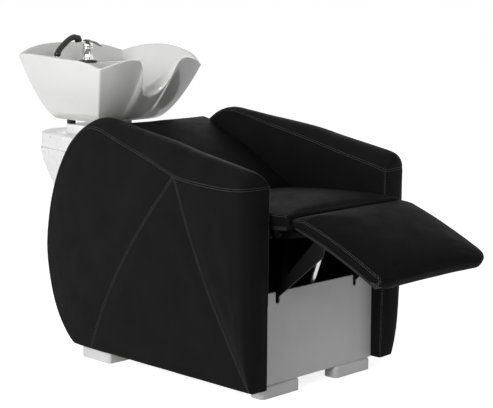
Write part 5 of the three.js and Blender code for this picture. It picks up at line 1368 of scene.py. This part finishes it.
def bowl_inside(inner, floor):
    """From the rim over the tap deck at the rear, and down the curved wall to the floor."""
    on_deck = smoothstep(inner[:, 1], DECK_Y - RIM_THICKNESS, DECK_Y + RIM_THICKNESS * 2)[:, None]
    rear_y = np.maximum(DECK_Y, inner[:, 1] - RIM_THICKNESS * DECK_REAR_SETBACK)
    rear = stacked(inner[:, 0] * DECK_REAR_WIDTH, rear_y, DECK_Z)
    edge = stacked(inner[:, 0] * DECK_EDGE_WIDTH, DECK_Y, DECK_Z)
    deck_rear = lerp(risen(floor, inner, DECK_REAR_LEVEL), rear, on_deck)
    deck_edge = lerp(risen(floor, inner, DECK_EDGE_LEVEL), edge, on_deck)
    rings = [lerp(inner, deck_rear, t) for t in DECK_WALL_SHARES]
    rings += [lerp(deck_rear, deck_edge, t) for t in DECK_SHARES]
    for step in range(BOWL_WALL_STEPS):
        t = 1 - step / BOWL_WALL_STEPS
        wall = risen(floor, inner, DECK_EDGE_LEVEL * t)
        rings.append(lerp(wall, risen(floor, deck_edge, t), on_deck))
    return rings


def build_basin():
    outer, inner = rim_half()
    foot = foot_half()
    floor = circle_half(BOWL_FLOOR_HALF, BOWL_FLOOR, BOWL_FLOOR_REACH)
    drain = circle_half(DRAIN_LIP, BOWL_FLOOR - DRAIN_DISH)
    rings = [circle_half(DRAIN_RADIUS, BASIN_BOTTOM), lerp(foot, foot.mean(0), 0.02)]
    rings += [risen(foot, outer, level) for level in BASIN_WALL_LEVELS]
    rings += rim_roll(outer, inner) + bowl_inside(inner, floor)
    rings += [floor, lerp(floor, drain, 0.5), drain, circle_half(DRAIN_RADIUS, BOWL_FLOOR - DRAIN_DISH)]
    basin = ring_object("washing_basin", [whole_ring(r) for r in rings], closed=True)
    subdivide(basin)
    place_piece(basin, "basin_unit", white_glaze, ["basin"])


# Turned pieces
def lathe(name, profile, centre, sides=64):
    """A solid turned about a vertical axis from (radius, height) stations."""
    angles = np.linspace(0, 2 * math.pi, sides, endpoint=False)
    rings = [stacked(centre[0] + r * np.cos(angles), centre[1] + r * np.sin(angles), z) for r, z in profile]
    return ring_object(name, rings)


def above(profile, base):
    return [(radius, base + height) for radius, height in profile]


def build_mixer():
    centre = (0, MIXER_Y)
    ring = lathe("mixer_foot_ring", above(MIXER_RING_PROFILE, DECK_Z), centre)
    place_piece(ring, "basin_unit", gloss_black, ["mixer_base_ring"])
    low, high = design_box("mixer_body")
    foot = above(MIXER_FOOT_PROFILE, DECK_Z + MIXER_FOOT_RISE)
    profile = [(foot[0][0], low[2]), *foot, *above(MIXER_TOP_PROFILE, high[2])]
    body = lathe("mixer_column", profile, centre)
    place_piece(body, "basin_unit", chrome, ["mixer_body"])
    low, high = design_box("mixer_head")
    head = lathe("mixer_cap", above(MIXER_CAP_PROFILE, low[2]) + above(MIXER_CAP_TOP, high[2]), centre)
    place_piece(head, "mixer_top", chrome, ["mixer_head"])


def fuller(wave):
    """A sine or cosine bent towards its limits, for a section with fuller corners."""
    return np.sign(wave) * np.abs(wave) ** LEVER_ROUNDNESS


def build_lever():
    """A paddle that rises over the head and droops to its tip, with a tongue into the head."""
    shares = np.linspace(0, 1, LEVER_RINGS)
    form = curve_points([station[:3] for station in LEVER_STATIONS], shares)
    thickness = curve_points([(station[3], 0, 0) for station in LEVER_STATIONS], shares)[:, 0]
    angles = np.linspace(0, 2 * math.pi, LEVER_SIDES, endpoint=False)
    rings = []
    for (y, z, width), thick in zip(form, thickness):
        along = y * LEVER_REACH[0 if y < 0 else 1]
        across = LEVER_HALF_WIDTH * width * fuller(np.cos(angles))
        rise = LEVER_HALF_THICKNESS * thick * fuller(np.sin(angles))
        rings.append(stacked(across, MIXER_Y + along, LEVER_Z + z * LEVER_RISE + rise))
    lever = ring_object("mixer_paddle", rings)
    half_x, half_y = TONGUE_HALF
    tongue_low = (-half_x, MIXER_Y - half_y, LEVER_Z - TONGUE_DEPTH)
    join(lever, rounded_block("tongue", tongue_low, (half_x, MIXER_Y + half_y, LEVER_Z), *TONGUE_ROUND))
    place_piece(lever, "mixer_lever_body", dark_chrome, ["mixer_lever"])


def swept(name, path, radii, flatness=1.0, sides=36):
    """A tube along a path in the x-z plane, with a radius at each of its points."""
    path = np.asarray(path)
    tangents = np.gradient(path, axis=0)
    tangents /= np.linalg.norm(tangents, axis=1, keepdims=True)
    angles = np.linspace(0, 2 * math.pi, sides, endpoint=False)
    rings = []
    for p, tangent, radius in zip(path, tangents, radii):
        side = np.array([0, 1.0, 0])
        up = np.cross(side, tangent)
        rings.append(p + radius * (np.outer(np.cos(angles), side) + flatness * np.outer(np.sin(angles), up)))
    return ring_object(name, rings)


def swept_along(name, start, direction, profile):
    path = [start + direction * distance for distance, _ in profile]
    return swept(name, path, [radius for _, radius in profile])


def build_shower():
    centre = (SHOWER_X, SHOWER_Y)
    collar = lathe("shower_holder", above(SHOWER_HOLDER_PROFILE, DECK_Z), centre)
    place_piece(collar, "basin_unit", chrome, ["shower_collar"])
    low = DECK_Z + SHOWER_NECK_LIFT
    ferrule = lathe("shower_neck", above(SHOWER_NECK_PROFILE, low), centre)
    place_piece(ferrule, "hand_shower", chrome, ["shower_ferrule"])

    start = low + GRIP_START
    controls = [(SHOWER_X + x * GRIP_REACH, SHOWER_Y, start + z * GRIP_RISE) for x, z in GRIP_SHARES]
    path = curve_points(controls, np.linspace(0, 1, GRIP_RINGS))
    path = np.vstack([[SHOWER_X, SHOWER_Y, low + GRIP_FOOT], path])
    radii = np.interp(np.linspace(0, 1, len(path)), *zip(*GRIP_RADII))
    grip = swept("shower_grip", path, radii, GRIP_FLATNESS)
    tangent = unit(path[-1] - path[-2])
    facing = unit(np.array([tangent[0] * SHOWER_HEAD_TILT, 0, -1]))
    back = path[-1] - facing * SHOWER_HEAD_BACK
    join(grip, swept_along("shower_head", back, facing, SHOWER_HEAD_PROFILE))
    place_piece(grip, "hand_shower", gloss_black, ["shower_handle"])
    rose = swept_along("shower_rose", back, facing, SHOWER_ROSE_PROFILE)
    place_piece(rose, "hand_shower", chrome, ["shower_spray_face"])


# Stage
def larger(tree, first, second):
    node = new_node(tree, "ShaderNodeMath", links={0: first, 1: second})
    node.operation = "MAXIMUM"
    return node.outputs[0]


def seen_ray(tree):
    """1 for rays from the camera and for mirrored and refracted rays."""
    path = tree.nodes.new("ShaderNodeLightPath")
    direct = larger(tree, path.outputs["Is Camera Ray"], path.outputs["Is Glossy Ray"])
    return larger(tree, direct, path.outputs["Is Transmission Ray"])


def build_stage():
    mesh = bpy.data.meshes.new("floor")
    corners = [(x * FLOOR_HALF, y * FLOOR_HALF, 0) for x, y in ((-1, -1), (1, -1), (1, 1), (-1, 1))]
    mesh.from_pydata(corners, [], [(0, 1, 2, 3)])
    floor = scene_object("floor", mesh)
    material = bpy.data.materials.new("floor")
    material.use_nodes = True
    tree = material.node_tree
    tree.nodes.clear()
    diffuse = new_node(tree, "ShaderNodeBsdfDiffuse", {"Color": colour(FLOOR_COLOUR)})
    strength = new_node(tree, "ShaderNodeMath", {1: FLOOR_GLOW}, {0: seen_ray(tree)})
    strength.operation = "MULTIPLY"
    glow = new_node(tree, "ShaderNodeEmission", links={"Strength": strength.outputs[0]})
    both = new_node(tree, "ShaderNodeAddShader", links={0: diffuse.outputs[0], 1: glow.outputs[0]})
    new_node(tree, "ShaderNodeOutputMaterial", links={"Surface": both.outputs[0]})
    mesh.materials.append(material)


def build_world():
    world = bpy.data.worlds.new("studio")
    bpy.context.scene.world = world
    world.use_nodes = True
    tree = world.node_tree
    back = tree.nodes["Background"]
    back.inputs["Color"].default_value = colour(1)
    strength = new_node(tree, "ShaderNodeMapRange", {"To Min": WORLD_LIGHT, "To Max": WORLD_LOOK},
                        {"Value": seen_ray(tree)})
    tree.links.new(strength.outputs["Result"], back.inputs["Strength"])


def add_area(name, place, size, power):
    data = bpy.data.lights.new(name, "AREA")
    data.shape = "RECTANGLE"
    data.size, data.size_y = size
    data.energy = power
    lamp = scene_object(name, data)
    lamp.location = place
    lamp.rotation_euler = (Vector(LAMP_TARGET) - Vector(place)).to_track_quat("-Z", "Y").to_euler()


def build_camera():
    data = bpy.data.cameras.new("camera")
    data.lens = CAMERA_LENS
    data.sensor_width = SENSOR_WIDTH
    camera = scene_object("camera", data)
    camera.location = to_frame(CAMERA_PLACE)
    camera.rotation_euler = Vector(CAMERA_FORWARD).to_track_quat("-Z", "Y").to_euler()
    bpy.context.scene.camera = camera


bpy.context.scene.view_settings.view_transform = "Standard"
build_camera()
build_world()
build_stage()
for lamp in LAMPS:
    add_area(*lamp)

finish_nodes()
build_arms()
build_cushions()
build_column()
build_blocks()
build_skirt()
build_rear_cover()
build_basin()
build_mixer()
build_lever()
build_shower()
